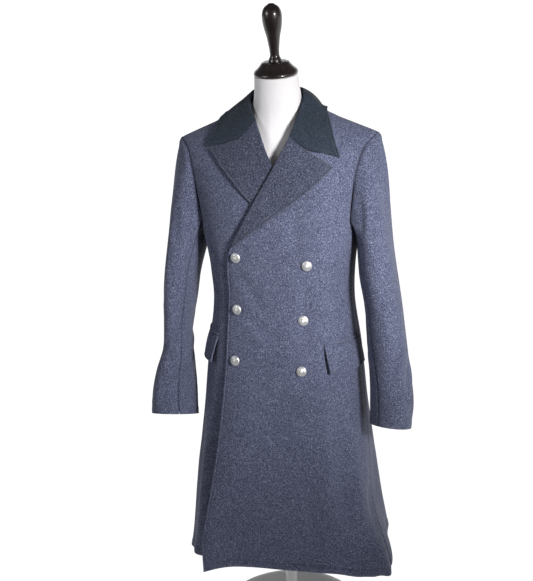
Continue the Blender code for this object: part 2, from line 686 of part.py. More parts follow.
def bent_shares(bend, before, count):
    """Shares from 0 to 1 with a point exactly at a bend, and a number of points up to it."""
    first = np.linspace(0.0, bend, before)
    return np.concatenate([first, np.linspace(bend, 1.0, count - before + 1)[1:]])


def lapel(side):
    """A lapel's face, turned back along the roll line, its top edge cut to the gorge and notch."""
    over = side == "left"
    roll, edge = (OVER_ROLL, OVER_LAPEL_EDGE) if over else (UNDER_ROLL, UNDER_LAPEL_EDGE)
    gorge = OVER_GORGE if over else UNDER_GORGE
    roll = [point for point in roll if point.height < gorge[0].height] + [gorge[0]]
    roll_x, roll_height = path_points(roll, LAPEL_ROWS, LAPEL_START)
    edge_x, edge_height = path_points(edge, LAPEL_ROWS, LAPEL_START)
    notch_share = abs(gorge[1].x - gorge[0].x) / abs(edge[-1].x - gorge[0].x)
    share = bent_shares(notch_share, NOTCH_COLUMN, LAPEL_COLUMNS)
    x = roll_x[:, None] * (1 - share) + edge_x[:, None] * share
    height = roll_height[:, None] * (1 - share) + edge_height[:, None] * share
    notch_drop = gorge[1].height - (gorge[0].height * (1 - notch_share) + edge[-1].height * notch_share)
    bend = np.minimum(share / notch_share, (1 - share) / (1 - notch_share))
    up_lapel = np.linspace(LAPEL_START, 1.0, LAPEL_ROWS)[:, None]
    fade = up_lapel ** 4
    height = height + notch_drop * bend * fade - SEAM_GAP * fade
    points, normals = front_points(x, height, over)
    offset = lap_offset(points) if over else np.zeros(points.shape[:2])
    lift = LAPEL_LIFT * share ** 2 * ease((up_lapel - LAPEL_START) * 3)
    if not over:
        lift = lift * ease(-x / UNDER_LAPEL_FADE)
    inner = points + normals * (offset + LAYER_GAP + lift)[..., None]
    outer = inner + normals * CLOTH
    wall("lapel_" + side, outer, inner, "wool")


def clear_of_shoulders(points, clearance):
    """Move points out until they lie at least a clearance off the coat's shoulders."""
    def depth(p):
        x = p[..., 0]
        share = (p[..., 2] - ARM_HEIGHT) / (shoulder_height(x) - ARM_HEIGHT)
        half_width = CHEST_HALF_WIDTH + SHOULDER_SPREAD * np.clip(share, 0, None) ** 1.5
        room = np.maximum(1 - (np.abs(x) / half_width) ** CHEST_SQUARENESS, 1e-4)
        reach = np.where(p[..., 1] < 0, CHEST_FRONT, CHEST_BACK) * room ** (1 / CHEST_SQUARENESS)
        size = np.abs(p[..., 1] / reach) ** SHOULDER_EDGE + np.clip(share, 0, None) ** SHOULDER_ROUND
        return size - 1
    moved = points.copy()
    step = 1e-4
    for _ in range(12):
        value = depth(moved)
        slope = np.stack([(depth(moved + step * axis) - depth(moved - step * axis)) / (2 * step)
                          for axis in np.eye(3)], axis=-1)
        steep = np.maximum(np.linalg.norm(slope, axis=-1), 1e-6)
        short = np.clip(clearance - value / steep, 0.0, 0.004)
        moved = moved + slope / steep[..., None] * short[..., None]
    return moved


def collar_lines(places):
    """The roll, middle and outer edge of the collar at places from its right end to its left."""
    known = [row.place for row in COLLAR]
    lines = []
    for part in ("roll", "mid", "edge"):
        values = np.array([getattr(row, part) for row in COLLAR])
        lines.append(np.stack([smooth(known, values[:, axis], places) for axis in range(3)], axis=-1))
    return lines


def collar_end(side, shares):
    """The collar's front end: along the gorge seam to the notch, then out to the collar point."""
    over = side == "left"
    gorge = OVER_GORGE if over else UNDER_GORGE
    tip = OVER_COLLAR_TIP if over else UNDER_COLLAR_TIP
    line = (gorge[0], gorge[1], tip)
    x = np.interp(shares, (0.0, GORGE_SHARE, 1.0), [point.x for point in line])
    height = np.interp(shares, (0.0, GORGE_SHARE, 1.0), [point.height for point in line]) + SEAM_GAP
    points, normals = front_points(x, height, over)
    offset = (lap_offset(points) if over else np.zeros(points.shape[:-1])) + LAYER_GAP
    return points + normals * offset[..., None], normals


def collar():
    """The felt fall, from its roll by the neck down to its outer edge."""
    places = np.linspace(0.0, 1.0, COLLAR_COLUMNS)
    roll, mid, edge = collar_lines(places)
    shares = bent_shares(GORGE_SHARE, COLLAR_NOTCH_ROW, COLLAR_ROWS)
    # The end sections follow the gorge seam to the notch, so they bend there instead of curving
    ends = np.clip(np.minimum(places, 1 - places) / COLLAR_END_SHARE, 0.0, 1.0)[:, None, None]
    s = shares[None, :, None]
    curved = (1 - s) * (1 - 2 * s) * roll[:, None] + 4 * s * (1 - s) * mid[:, None] \
        + s * (2 * s - 1) * edge[:, None]
    left_end, left_normals = collar_end("left", shares)
    right_end, right_normals = collar_end("right", shares)
    bent = np.where(places[:, None, None] < 0.5, left_end, right_end)
    points = bent * (1 - ease(ends)) + curved * ease(ends)
    lift = LAYER_GAP + COLLAR_LIFT * ease(ends)[..., 0] + lap_offset(points) * (points[..., 0] > 0)
    inner = clear_of_shoulders(points, lift)
    inner[0], inner[-1] = left_end, right_end
    normals = grid_normals(inner, NECK_INSIDE)
    normals[0], normals[-1] = left_normals, right_normals
    outer = inner + normals * FELT
    wall("collar", outer, inner, "felt")


def collar_stand():
    """The stand, from the neckline up inside the fall."""
    places = np.linspace(STAND_START, STAND_END, STAND_COLUMNS)
    roll, _, _ = collar_lines(places)
    centre = np.array([0.0, STAND_CENTRE_Y, 0.0])
    top = roll - (roll - centre) * np.array([STAND_INSET, STAND_INSET, 0.0])
    top[:, 2] -= SEAM_GAP * 2
    angle = np.arctan2(roll[:, 0], roll[:, 1] - STAND_CENTRE_Y)
    neckline = np.stack([STAND_FOOT_HALF_WIDTH * np.sin(angle),
                         STAND_CENTRE_Y + STAND_FOOT_DEPTH * np.cos(angle), roll[:, 2]], axis=-1)
    # The stand's front ends lie inside the roll lines, so they spread less there
    spread = ease(np.minimum(places - STAND_START, STAND_END - places) / STAND_END_FADE)[:, None]
    spread = STAND_END_SPREAD + (1 - STAND_END_SPREAD) * spread
    foot = roll * (1 - spread) + neckline * spread
    foot[:, 2] = np.minimum(STAND_FOOT_HEIGHT, roll[:, 2] - STAND_LEAST_DEPTH)
    shares = np.linspace(0.0, 1.0, STAND_ROWS)[None, :, None]
    outer = foot[:, None] * (1 - shares) + top[:, None] * shares
    inner = outer - grid_normals(outer, NECK_INSIDE) * CLOTH
    wall("collar_stand", outer, inner, "felt")


def flap_frame(flap, down_shares, extra_up=0.0):
    """Points and normals on the front under a flap or its welt, rows from the top down."""
    over = flap.side == "left"
    sign = 1 if over else -1
    rows = []
    for down in down_shares:
        height = flap.height - flap.drop * down + extra_up
        x = flap.x + sign * flap.slant * down
        level = level_of(x, height)
        first = turn_of(x, level)
        turns = np.linspace(first, first + sign * math.pi / 2, TRACE_POINTS)
        points = body(level, turns, over)
        run = np.concatenate([[0.0], np.cumsum(np.linalg.norm(np.diff(points, axis=0), axis=1))])
        row_turns = np.interp(np.linspace(0, flap.length, FLAP_COLUMNS), run, turns)
        rows.append((height + flap.tilt * np.linspace(0, 1, FLAP_COLUMNS), row_turns))
    levels = np.array([row[0] for row in rows])
    turns = np.array([row[1] for row in rows])
    return body(levels, turns, over), body_normal(levels, turns, over)


def pocket(flap):
    """The flap and the narrow ridge over it where it is sewn into the front."""
    over = flap.side == "left"
    shares = np.linspace(FLAP_TOP_SHARE, 1.0, FLAP_ROWS)
    points, normals = flap_frame(flap, shares)
    offset = (lap_offset(points) if over else 0.0) + SEAM_GAP
    lift = FLAP_LIFT * np.sin(shares * math.pi / 2)[:, None]
    front_share = np.linspace(1.0, FLAP_BACK_LIFT, FLAP_COLUMNS)[None, :]
    inner = points + normals * (offset + lift * front_share)[..., None]
    outer = inner + normals * CLOTH
    welt_points, welt_normals = flap_frame(flap, (0.0, 1.0), SEAM_GAP)
    welt_points[1] = welt_points[0] + np.array([0.0, 0.0, WELT_HEIGHT])
    welt_normals[1] = welt_normals[0]
    welt_offset = (lap_offset(welt_points) if over else 0.0) + SEAM_GAP
    welt_inner = welt_points + welt_normals * (welt_offset + np.zeros(welt_points.shape[:2]))[..., None]
    welt_outer = welt_inner + welt_normals * WELT_THICK
    wall("flap_" + flap.side, outer, inner, "wool")
    wall("welt_" + flap.side, welt_outer, welt_inner, "wool")


def turned(name, profile, segments, finish, foot, axis):
    """A solid turned about an axis that rises from its foot, closed flat at both ends."""
    axis = np.asarray(axis, float) / np.linalg.norm(axis)
    side = np.cross(axis, (0.0, 1.0, 0.0) if abs(axis[1]) < 0.9 else (1.0, 0.0, 0.0))
    side /= np.linalg.norm(side)
    other = np.cross(axis, side)
    points = []
    for radius, height in profile:
        for step in range(segments):
            angle = 2 * math.pi * step / segments
            arm = side * math.cos(angle) + other * math.sin(angle)
            points.append(np.asarray(foot) + axis * height + arm * radius)
    faces = [tuple(range(segments - 1, -1, -1))]
    for row in range(len(profile) - 1):
        for step in range(segments):
            after = (step + 1) % segments
            a, b = row * segments + step, row * segments + after
            faces.append((a, b, b + segments, a + segments))
    last = (len(profile) - 1) * segments
    faces.append(tuple(range(last, last + segments)))
    return add_solid(name, points, faces, finish)


def button_profile():
    rim = SHANK_LENGTH + BUTTON_RIM
    dome = [TurnPoint(BUTTON_RADIUS * math.cos(angle), rim + BUTTON_DOME * math.sin(angle))
            for angle in (math.radians(degrees) for degrees in (0, 28, 54, 76))]
    return [TurnPoint(SHANK_RADIUS, 0.0), TurnPoint(SHANK_RADIUS, SHANK_LENGTH),
            TurnPoint(BUTTON_RADIUS, SHANK_LENGTH)] + dome


def buttons(front):
    """Buttons stand on the top front, where a line from straight ahead meets its cloth."""
    for place in BUTTONS:
        _, point, normal, _ = front.ray_cast((place.x, -1.0, place.height), (0.0, 1.0, 0.0))
        foot = np.array(point + normal * BUTTON_GAP)
        turned(place.name, button_profile(), BUTTON_SEGMENTS, "metal", foot, np.array(normal))


def form_inside(points, inset):
    """Below zero inside the dress form's body, which lies an inset within the coat."""
    x, y, height = points[..., 0], points[..., 1], points[..., 2]
    near_neck = 1 - ease((np.abs(x) - NECK_BASE_X) / NECK_BASE_FADE)
    x = x - centre_x(height)
    height = height + RIDGE_CLEARANCE + NECK_BASE_DROP * near_neck
    share = (height - ARM_HEIGHT) / (shoulder_height(x) - ARM_HEIGHT)
    half_width, front, back, side_y, squareness = ring_sizes(np.minimum(height, ARM_HEIGHT))
    half_width = half_width + FORM_SPREAD * np.clip(share, 0, None) ** 1.5 - FORM_CLEARANCE
    room = np.maximum(1 - (np.abs(x) / half_width) ** squareness, 1e-5)
    depth = np.where(y < side_y, front + side_y, back - side_y) - inset - CLOTH
    size = np.abs((y - side_y) / (depth * room ** (1 / squareness))) ** SHOULDER_EDGE
    size = np.where(np.abs(x) < half_width, size, 9.0)
    return size + np.clip(share, 0, None) ** SHOULDER_ROUND - 1


def neck_centre(height):
    """The middle of the neck at a height: it leans forward."""
    drop = NECK_CENTRE_HEIGHT - height
    return np.array([NECK_CENTRE_X, min(NECK_CENTRE_Y + drop * math.tan(NECK_LEAN), 0.0), height])


def form():
    """The limbless torso and neck, one smooth closed solid under the coat."""
    angles = np.arange(FORM_SEGMENTS) * 2 * math.pi / FORM_SEGMENTS
    arms = np.stack([np.sin(angles), -np.cos(angles), np.zeros_like(angles)], axis=-1)
    rings = []
    for height in FORM_HEIGHTS:
        axis_point = np.array([0.0, 0.0, height])
        deep = 1 - ease((height - FORM_CHEST) / FORM_CHEST_FADE)
        inset = SHOULDER_CLEARANCE + (FORM_CLEARANCE - SHOULDER_CLEARANCE) * deep
        near = np.full(FORM_SEGMENTS, FORM_LEAST)
        far = np.full(FORM_SEGMENTS, FORM_MOST)
        for _ in range(FORM_SEARCH_STEPS):
            middle = (near + far) / 2
            inside = form_inside(axis_point + arms * middle[:, None], inset) < 0
            near = np.where(inside, middle, near)
            far = np.where(inside, far, middle)
        neck_radius = smooth([row.height for row in NECK], [row.radius for row in NECK], height)
        centre = neck_centre(height) - axis_point
        ahead = arms @ centre
        neck = ahead + np.sqrt(np.maximum(neck_radius ** 2 - centre @ centre + ahead ** 2, 0.0))
        radius = (near ** FORM_BLEND + np.maximum(neck, 0.0) ** FORM_BLEND) ** (1 / FORM_BLEND)
        ring = axis_point + arms * radius[:, None]
        if height == NECK_TOP:
            ring[:, 2] += (ring[:, 1] - centre[1]) * math.tan(NECK_LEAN)
        rings.append(ring)
    count = FORM_SEGMENTS
    points = np.concatenate(rings)
    faces = [tuple(range(count - 1, -1, -1))]
    for row in range(len(rings) - 1):
        for step in range(count):
            a, b = row * count + step, row * count + (step + 1) % count
            faces.append((a, b, b + count, a + count))
    last = (len(rings) - 1) * count
    faces.append(tuple(range(last, last + count)))
    add_solid("form", points, faces, "jersey")


def headpiece():
    axis = np.array([0.0, -math.sin(NECK_LEAN), math.cos(NECK_LEAN)])
    cap_foot = neck_centre(NECK_TOP) + axis * SEAM_GAP
    turned("neck_cap", NECK_CAP_PROFILE, CAP_SEGMENTS, "wood", cap_foot, axis)
    finial_foot = cap_foot + axis * (NECK_CAP_PROFILE[-1].height + SEAM_GAP)
    turned("finial", FINIAL_PROFILE, FINIAL_SEGMENTS, "wood", finial_foot, axis)


def stand():
    up = (0.0, 0.0, 1.0)
    plate = (
        TurnPoint(BASE_RADIUS, 0.0), TurnPoint(BASE_RADIUS, BASE_HEIGHT - BASE_BEVEL),
        TurnPoint(BASE_RADIUS - BASE_BEVEL, BASE_HEIGHT),
    )
    turned("base", plate, BASE_SEGMENTS, "stand", (0.0, 0.0, 0.0), up)
    pole_foot = BASE_HEIGHT + SEAM_GAP
    tube = (TurnPoint(POLE_RADIUS, 0.0), TurnPoint(POLE_RADIUS, FORM_FOOT - SEAM_GAP - pole_foot))
    turned("pole", tube, POLE_SEGMENTS, "stand", (0.0, 0.0, pole_foot), up)


def main():
    clear_scene()
    for side in ("left", "right"):
        front_panel(side)
        back_panel(side)
        sleeve(side)
        lapel(side)
    collar()
    collar_stand()
    for flap in FLAPS:
        pocket(flap)
    buttons(bpy.data.objects["front_left"])
    form()
    headpiece()
    stand()


main()
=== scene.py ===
"""Finishes and details of a double-breasted greatcoat that stands on a limbless dress form.

Sizes are in metres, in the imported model's own frame. The cloth is built again on the same named
sizes as the solids, with rows fine enough to carry creases, worked edges and stitching.
"""
import math
from collections import namedtuple

import bmesh
import bpy
import numpy as np
from mathutils import Matrix, Vector


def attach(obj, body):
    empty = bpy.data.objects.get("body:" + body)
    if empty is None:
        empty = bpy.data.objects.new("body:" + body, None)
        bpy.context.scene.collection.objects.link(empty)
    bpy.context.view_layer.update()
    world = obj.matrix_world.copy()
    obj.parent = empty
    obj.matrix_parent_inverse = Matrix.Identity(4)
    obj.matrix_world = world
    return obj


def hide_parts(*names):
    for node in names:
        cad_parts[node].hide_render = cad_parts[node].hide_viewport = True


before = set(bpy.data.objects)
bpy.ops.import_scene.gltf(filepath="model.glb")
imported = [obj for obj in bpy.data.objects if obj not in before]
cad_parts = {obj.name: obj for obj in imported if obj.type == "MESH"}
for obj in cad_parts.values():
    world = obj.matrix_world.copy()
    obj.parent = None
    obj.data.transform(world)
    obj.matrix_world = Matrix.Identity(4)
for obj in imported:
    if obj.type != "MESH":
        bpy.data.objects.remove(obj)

def table(row_type, *rows):
    return tuple(row_type(*row) for row in rows)


# Cloth and seams
CLOTH = 0.0025
FELT = 0.0028
SEAM_GAP = 0.0003
LAYER_GAP = 0.0007

# Body of the coat
HEM_HEIGHT = 0.228
ARM_HEIGHT = 1.090
SHOULDER_TIP_X = 0.248
SHOULDER_TIP_HEIGHT = 1.325
SHOULDER_SLOPE = 0.40
# The shoulder seam bends up to the neck over the last of its run
SHOULDER_CURVE = 2.5
SHOULDER_CURVE_START = 0.09
SHOULDER_CURVE_RUN = 0.08
SHOULDER_TILT = 0.020
CHEST_HALF_WIDTH = 0.196
CHEST_FRONT = 0.138
CHEST_BACK = 0.126
CHEST_SQUARENESS = 2.5
SHOULDER_SPREAD = 0.066
SHOULDER_ROUND = 2.4
SHOULDER_EDGE = 1.6
# One full step of level takes the cloth from the armhole's foot to the shoulder seam
SHOULDER_LEVEL = 0.30
TOP_LEVEL = ARM_HEIGHT + SHOULDER_LEVEL

# A row for each height of the skirt and waist, the sizes of the coat's outer face there. The coat
# hangs a little over to its wearer's left at the waist, so centre_x is its middle there
Section = namedtuple("Section", "height half_width front back side_y squareness centre_x")
SECTIONS = table(
    Section, (0.228, 0.258, 0.178, 0.208, -0.062, 3.7, 0.0),
    (0.34, 0.239, 0.172, 0.192, -0.046, 3.4, 0.001), (0.47, 0.226, 0.163, 0.17, -0.03, 3.1, 0.002),
    (0.63, 0.211, 0.15, 0.15, -0.015, 2.8, 0.0032), (0.79, 0.196, 0.14, 0.133, -0.004, 2.6, 0.0042),
    (0.92, 0.18, 0.131, 0.114, 0.0, 2.5, 0.0042), (1.0, 0.183, 0.134, 0.116, 0.0, 2.5, 0.0036),
    (ARM_HEIGHT, CHEST_HALF_WIDTH, CHEST_FRONT, CHEST_BACK, 0.0, CHEST_SQUARENESS, 0.002),
)

# The largest folds of the skirt. turn and spread are degrees round the body from the front centre,
# and the fold grows from top down to the hem. over and under are how far the top front and the rest
# of the coat stand out or in there, and the two dips are how much lower their hems hang
Fold = namedtuple("Fold", "turn spread top over under over_dip under_dip")
FOLDS = table(
    Fold, (-36, 16, 0.8, 0.04, -0.018, 0.028, 0.0), (-70, 12, 0.4, 0.0, -0.014, 0.0, -0.004),
    (12, 18, 0.62, -0.004, -0.004, -0.002, 0.0), (46, 14, 0.7, 0.003, 0.003, 0.007, 0.0),
    (67, 13, 0.36, 0.012, 0.012, 0.012, 0.012), (86, 11, 0.4, 0.034, 0.034, 0.024, 0.024),
    (118, 11, 0.74, 0.012, 0.012, 0.0, 0.0), (-96, 11, 0.6, -0.004, -0.004, 0.0, 0.0),
    (-118, 12, 0.7, 0.013, 0.013, 0.0, 0.0), (146, 10, 0.68, -0.01, -0.01, 0.0, 0.0),
    (-148, 11, 0.64, -0.009, -0.009, 0.0, 0.0), (172, 11, 0.76, 0.011, 0.011, 0.0, 0.0),
    (-170, 10, 0.72, 0.01, 0.01, 0.0, 0.0),
)

# Places along a level that are measured to share out the cloth on it
TRACE_POINTS = 241
# Rows of cloth: heights below the armholes, then shares of the way up to the shoulder seam
ARM_SHARES = (0.0, 0.03, 0.085, 0.19, 0.32, 0.46, 0.60, 0.73, 0.85, 0.93, 0.975, 1.0)

# Armhole seam: how far round the body it lies at each share, in degrees from the front or back
Armhole = namedtuple("Armhole", "share front back")
ARMHOLE = table(
    Armhole, (0.0, 90.0, 90.0), (0.03, 80.0, 80.5), (0.085, 70.5, 73.0), (0.2, 67.0, 69.0),
    (0.32, 65.5, 66.5), (0.63, 61.0, 61.5), (0.85, 61.5, 61.5), (1.0, 69.0, 69.0),
)

# Free edge of the top front, then its roll line, as seen from the front
EdgePoint = namedtuple("EdgePoint", "x height")
OVER_EDGE = table(
    EdgePoint, (-0.168, HEM_HEIGHT), (-0.165, 0.303), (-0.1475, 0.445), (-0.135, 0.557), (-0.127, 0.666),
    (-0.117, 0.799), (-0.108, 0.928), (-0.095, 1.059),
)
OVER_ROLL = table(
    EdgePoint, (-0.095, 1.059), (-0.032, 1.17), (0.016, 1.252), (0.038, 1.295), (0.059, 1.34),
    (0.07, 1.378), (0.08, 1.4085),
)
# The under front's edge lies behind the top front, and its roll line mirrors the other one
UNDER_EDGE = table(
    EdgePoint, (0.07, HEM_HEIGHT), (0.074, 0.445), (0.08, 0.666), (0.09, 0.928), (0.104, 1.059),
)
UNDER_ROLL = table(
    EdgePoint, (0.104, 1.059), (0.058, 1.17), (0.017, 1.252), (-0.004, 1.297), (-0.024, 1.344),
    (-0.041, 1.378), (-0.078, 1.4073),
)
# The back neckline leaves the centre back at this share and ends at the shoulder seam
NECKLINE_SHARE = 0.825
NECK_POINT_X = 0.078

# How far the top front stands out, where it laps the under front and its lapel
LAP_OFFSET = 0.0046
LAPEL_LAP_OFFSET = 0.0038
LAP_END_X = 0.118
LAP_FADE = 0.055
LAP_TOP = 1.34
LAP_TOP_FADE = 0.06
LAPEL_LAP_FOOT = 0.96
LAPEL_LAP_FADE = 0.10
LAPEL_LAP_TOP = 1.33

# Lapel outlines seen from the front: break, points along the free edge, tip and gorge
OVER_LAPEL_EDGE = table(
    EdgePoint, (-0.093, 1.061), (-0.036, 1.106), (0.033, 1.154), (0.093, 1.2), (0.154, 1.256),
)
UNDER_LAPEL_EDGE = table(
    EdgePoint, (0.102, 1.061), (0.034, 1.112), (-0.033, 1.171), (-0.09, 1.232), (-0.151, 1.297),
)
OVER_GORGE = table(EdgePoint, (0.053, 1.326), (0.086, 1.299))
UNDER_GORGE = table(EdgePoint, (-0.035, 1.366), (-0.074, 1.322))
OVER_COLLAR_TIP = EdgePoint(0.168, 1.278)
UNDER_COLLAR_TIP = EdgePoint(-0.166, 1.3025)
GORGE_SHARE = 0.34
LAPEL_LIFT = 0.004
LAPEL_START = 0.05
# The under lapel lies flat where the top front laps it, and stands off outside this half width
UNDER_LAPEL_FADE = 0.09

# Collar: a row for each section from the viewer's right end, round the back, to the left end.
# roll is the top edge by the neck, mid lies half way down the fall and edge is its outer edge
CollarSection = namedtuple("CollarSection", "place roll mid edge")
COLLAR = table(
    CollarSection, (0.0, (0.0535, -0.092, 1.3275), (0.087, -0.098, 1.3015), (0.167, -0.08, 1.278)),
    (0.12, (0.068, -0.052, 1.385), (0.104, -0.068, 1.344), (0.145, -0.055, 1.324)),
    (0.26, (0.071, -0.012, 1.424), (0.097, -0.012, 1.405), (0.122, -0.01, 1.375)),
    (0.38, (0.052, 0.032, 1.432), (0.079, 0.055, 1.405), (0.096, 0.07, 1.367)),
    (0.5, (0.005, 0.048, 1.434), (0.003, 0.079, 1.405), (0.0, 0.096, 1.365)),
    (0.62, (-0.042, 0.032, 1.431), (-0.075, 0.055, 1.403), (-0.098, 0.07, 1.365)),
    (0.74, (-0.055, -0.012, 1.421), (-0.093, -0.012, 1.4), (-0.132, -0.01, 1.371)),
    (0.88, (-0.0505, -0.044, 1.394), (-0.098, -0.062, 1.357), (-0.15, -0.048, 1.336)),
    (1.0, (-0.036, -0.074, 1.3675), (-0.075, -0.09, 1.3235), (-0.165, -0.068, 1.3025)),
)
COLLAR_LIFT = 0.0030
COLLAR_END_SHARE = 0.10
NECK_INSIDE = np.array([0.0, -0.02, 1.30])
STAND_FOOT_HEIGHT = 1.409
STAND_FOOT_HALF_WIDTH = 0.0755
STAND_FOOT_DEPTH = 0.073
STAND_END_SPREAD = 0.20
STAND_END_FADE = 0.14
STAND_CENTRE_Y = -0.012
STAND_LEAST_DEPTH = 0.006
STAND_START = 0.20
STAND_END = 0.79

# Sleeves: a row for each ring below the armhole. x, y and height are its centre, wide and deep its
# half sizes across and front to back. twist turns it, in degrees, and rise tips its front up
Ring = namedtuple("Ring", "height x y wide deep twist rise")
SLEEVES = {
    "left": table(
        Ring, (1.05, 0.2415, -0.012, 0.045, 0.084, 3, 0.12), (0.98, 0.2515, -0.03, 0.048, 0.081, 6, 0.18),
        (0.91, 0.2645, -0.042, 0.047, 0.078, 9, 0.2), (0.84, 0.2715, -0.048, 0.049, 0.076, 12, 0.22),
        (0.775, 0.2785, -0.053, 0.05, 0.075, 15, 0.24), (0.715, 0.2855, -0.06, 0.052, 0.074, 18, 0.26),
        (0.655, 0.287, -0.067, 0.052, 0.074, 20, 0.28), (0.605, 0.2855, -0.072, 0.05, 0.074, 20, 0.3),
    ),
    "right": table(
        Ring, (1.05, 0.244, -0.012, 0.0465, 0.084, 3, 0.12), (0.98, 0.2555, -0.03, 0.0405, 0.078, 3, 0.18),
        (0.91, 0.2615, -0.042, 0.037, 0.072, 4, 0.2), (0.84, 0.2695, -0.048, 0.0305, 0.069, 2, 0.22),
        (0.775, 0.271, -0.053, 0.033, 0.069, 4, 0.25), (0.715, 0.279, -0.06, 0.0435, 0.072, 10, 0.29),
        (0.655, 0.2835, -0.067, 0.051, 0.075, 14, 0.33), (0.598, 0.284, -0.072, 0.0535, 0.075, 14, 0.36),
    ),
}
# How far each cuff drops toward its outer side, for each metre across
CUFF_DROP = {"left": 0.05, "right": 0.03}
# How the cap leaves the armhole: out, forward and down at the shoulder, and how that changes at its
# front and back. The fullness bows it out before it falls into the arm
CAP_OUT = 0.38
CAP_OUT_SIDEWAYS = 0.30
CAP_FORWARD = 0.35
CAP_DOWN = 0.88
CAP_DOWN_SIDEWAYS = 0.33
CAP_FULLNESS = 0.95
# Share of the way round to the underarm where the sleeve starts to lie outside the cloth
UNDERARM_FROM = 0.40
UNDERARM_FADE = 0.25
CUFF_DROP_RUN = 0.40
FRONT_SEAM = 9
BACK_SEAM_FROM_END = 8

# Pocket flaps on the fronts: along the cloth from the front corner, and down from the seam
Flap = namedtuple("Flap", "side x height length drop slant tilt")
FLAPS = table(
    Flap, ("left", 0.128, 0.824, 0.135, 0.07, 0.012, -0.002),
    ("right", -0.143, 0.83, 0.125, 0.069, 0.012, 0.004),
)
FLAP_LIFT = 0.011
FLAP_BACK_LIFT = 0.45
FLAP_TOP_SHARE = 0.02
WELT_HEIGHT = 0.006
WELT_THICK = 0.0028
WELT_TAPER = 0.004

# Buttons: a turned dome on a shank
ButtonPlace = namedtuple("ButtonPlace", "name x height")
BUTTONS = table(
    ButtonPlace, ("button_right_1", -0.08, 1.043), ("button_right_2", -0.085, 0.909),
    ("button_right_3", -0.092, 0.779), ("button_left_1", 0.094, 1.027), ("button_left_2", 0.081, 0.888),
    ("button_left_3", 0.077, 0.762),
)
BUTTON_GAP = 0.0008
BUTTON_RADIUS = 0.0125
BUTTON_DOME = 0.0050
BUTTON_RIM = 0.0014
SHANK_RADIUS = 0.0030
SHANK_LENGTH = 0.0016

# Dress form, its neck and what stands on it and under it
FORM_FOOT = 0.700
NECK_TOP = 1.470
NECK_LEAN = math.radians(10.0)
NECK_CENTRE_X = 0.008
NECK_CENTRE_Y = -0.0300
NECK_CENTRE_HEIGHT = 1.455
NeckSection = namedtuple("NeckSection", "height radius")
NECK = table(
    NeckSection, (1.16, 0.02), (1.26, 0.06), (1.38, 0.061), (1.4, 0.059), (1.42, 0.057), (1.445, 0.054),
    (NECK_TOP, 0.0525),
)
FORM_CLEARANCE = 0.012
SHOULDER_CLEARANCE = 0.017
RIDGE_CLEARANCE = 0.0050
# The form's shoulders slope away a little more where they run into the neck
NECK_BASE_DROP = 0.013
NECK_BASE_X = 0.080
NECK_BASE_FADE = 0.045
# The form narrows more inside the coat above this height, over this fade
FORM_CHEST = 1.20
FORM_CHEST_FADE = 0.10
FORM_SPREAD = 0.044
FORM_LEAST = 0.001
FORM_MOST = 0.32
FORM_SEARCH_STEPS = 40
FORM_BLEND = 9.0
POLE_RADIUS = 0.015
BASE_RADIUS = 0.190
BASE_HEIGHT = 0.010
BASE_BEVEL = 0.003

TurnPoint = namedtuple("TurnPoint", "radius height")
NECK_CAP_PROFILE = table(
    TurnPoint, (0.0515, 0.0), (0.053, 0.002), (0.0535, 0.005), (0.052, 0.0085), (0.046, 0.014),
    (0.04, 0.02), (0.0355, 0.0255), (0.033, 0.0285), (0.027, 0.0305),
)
FINIAL_PROFILE = table(
    TurnPoint, (0.0165, 0.0), (0.015, 0.005), (0.0118, 0.012), (0.0115, 0.022), (0.0134, 0.04),
    (0.0163, 0.0585), (0.0208, 0.077), (0.0235, 0.096), (0.0238, 0.106), (0.0222, 0.1165), (0.017, 0.126),
    (0.008, 0.1325),
)

# Finer rows and columns than the solids have. Distances are measured from an edge of the cloth
ROW_STEP = 0.0062
COLUMN_STEP = 0.0062
FREE_EDGE = (0.0, 0.0007, 0.0017, 0.0030, 0.0042, 0.0051, 0.0059, 0.0067, 0.0078, 0.0100, 0.0140)
SEAM_EDGE = (0.0, 0.0010, 0.0022, 0.0040, 0.0068)
HEM_EDGE = (0.0, 0.0007, 0.0018, 0.0035, 0.006, 0.010, 0.015, 0.018, 0.0192, 0.020, 0.0208, 0.0222, 0.026)
HEM_STITCH = 0.020
EDGE_STITCH = 0.0062
COLLAR_STITCH = 0.0078
# The lapels and the collar turn over in a half round of these radii
ROLL_RADIUS = (LAYER_GAP + 2 * CLOTH) / 2
COLLAR_ROLL = 0.0031
UPPER_ROWS = 66
FINE = 5
SLEEVE_CAP_ROWS = 30
SLEEVE_STEP = 0.0048

# Worked edges: the turned edge stands up a little and its stitching draws a groove
EDGE_BULGE = 0.0009
GROOVE_DEPTH = 0.0010
GROOVE_WIDTH = 0.0011
SEAM_DIP = 0.0011
SEAM_DIP_WIDTH = 0.0032
PUCKER = 0.00030
PUCKER_LENGTH = 0.017
PUCKER_REACH = 0.016

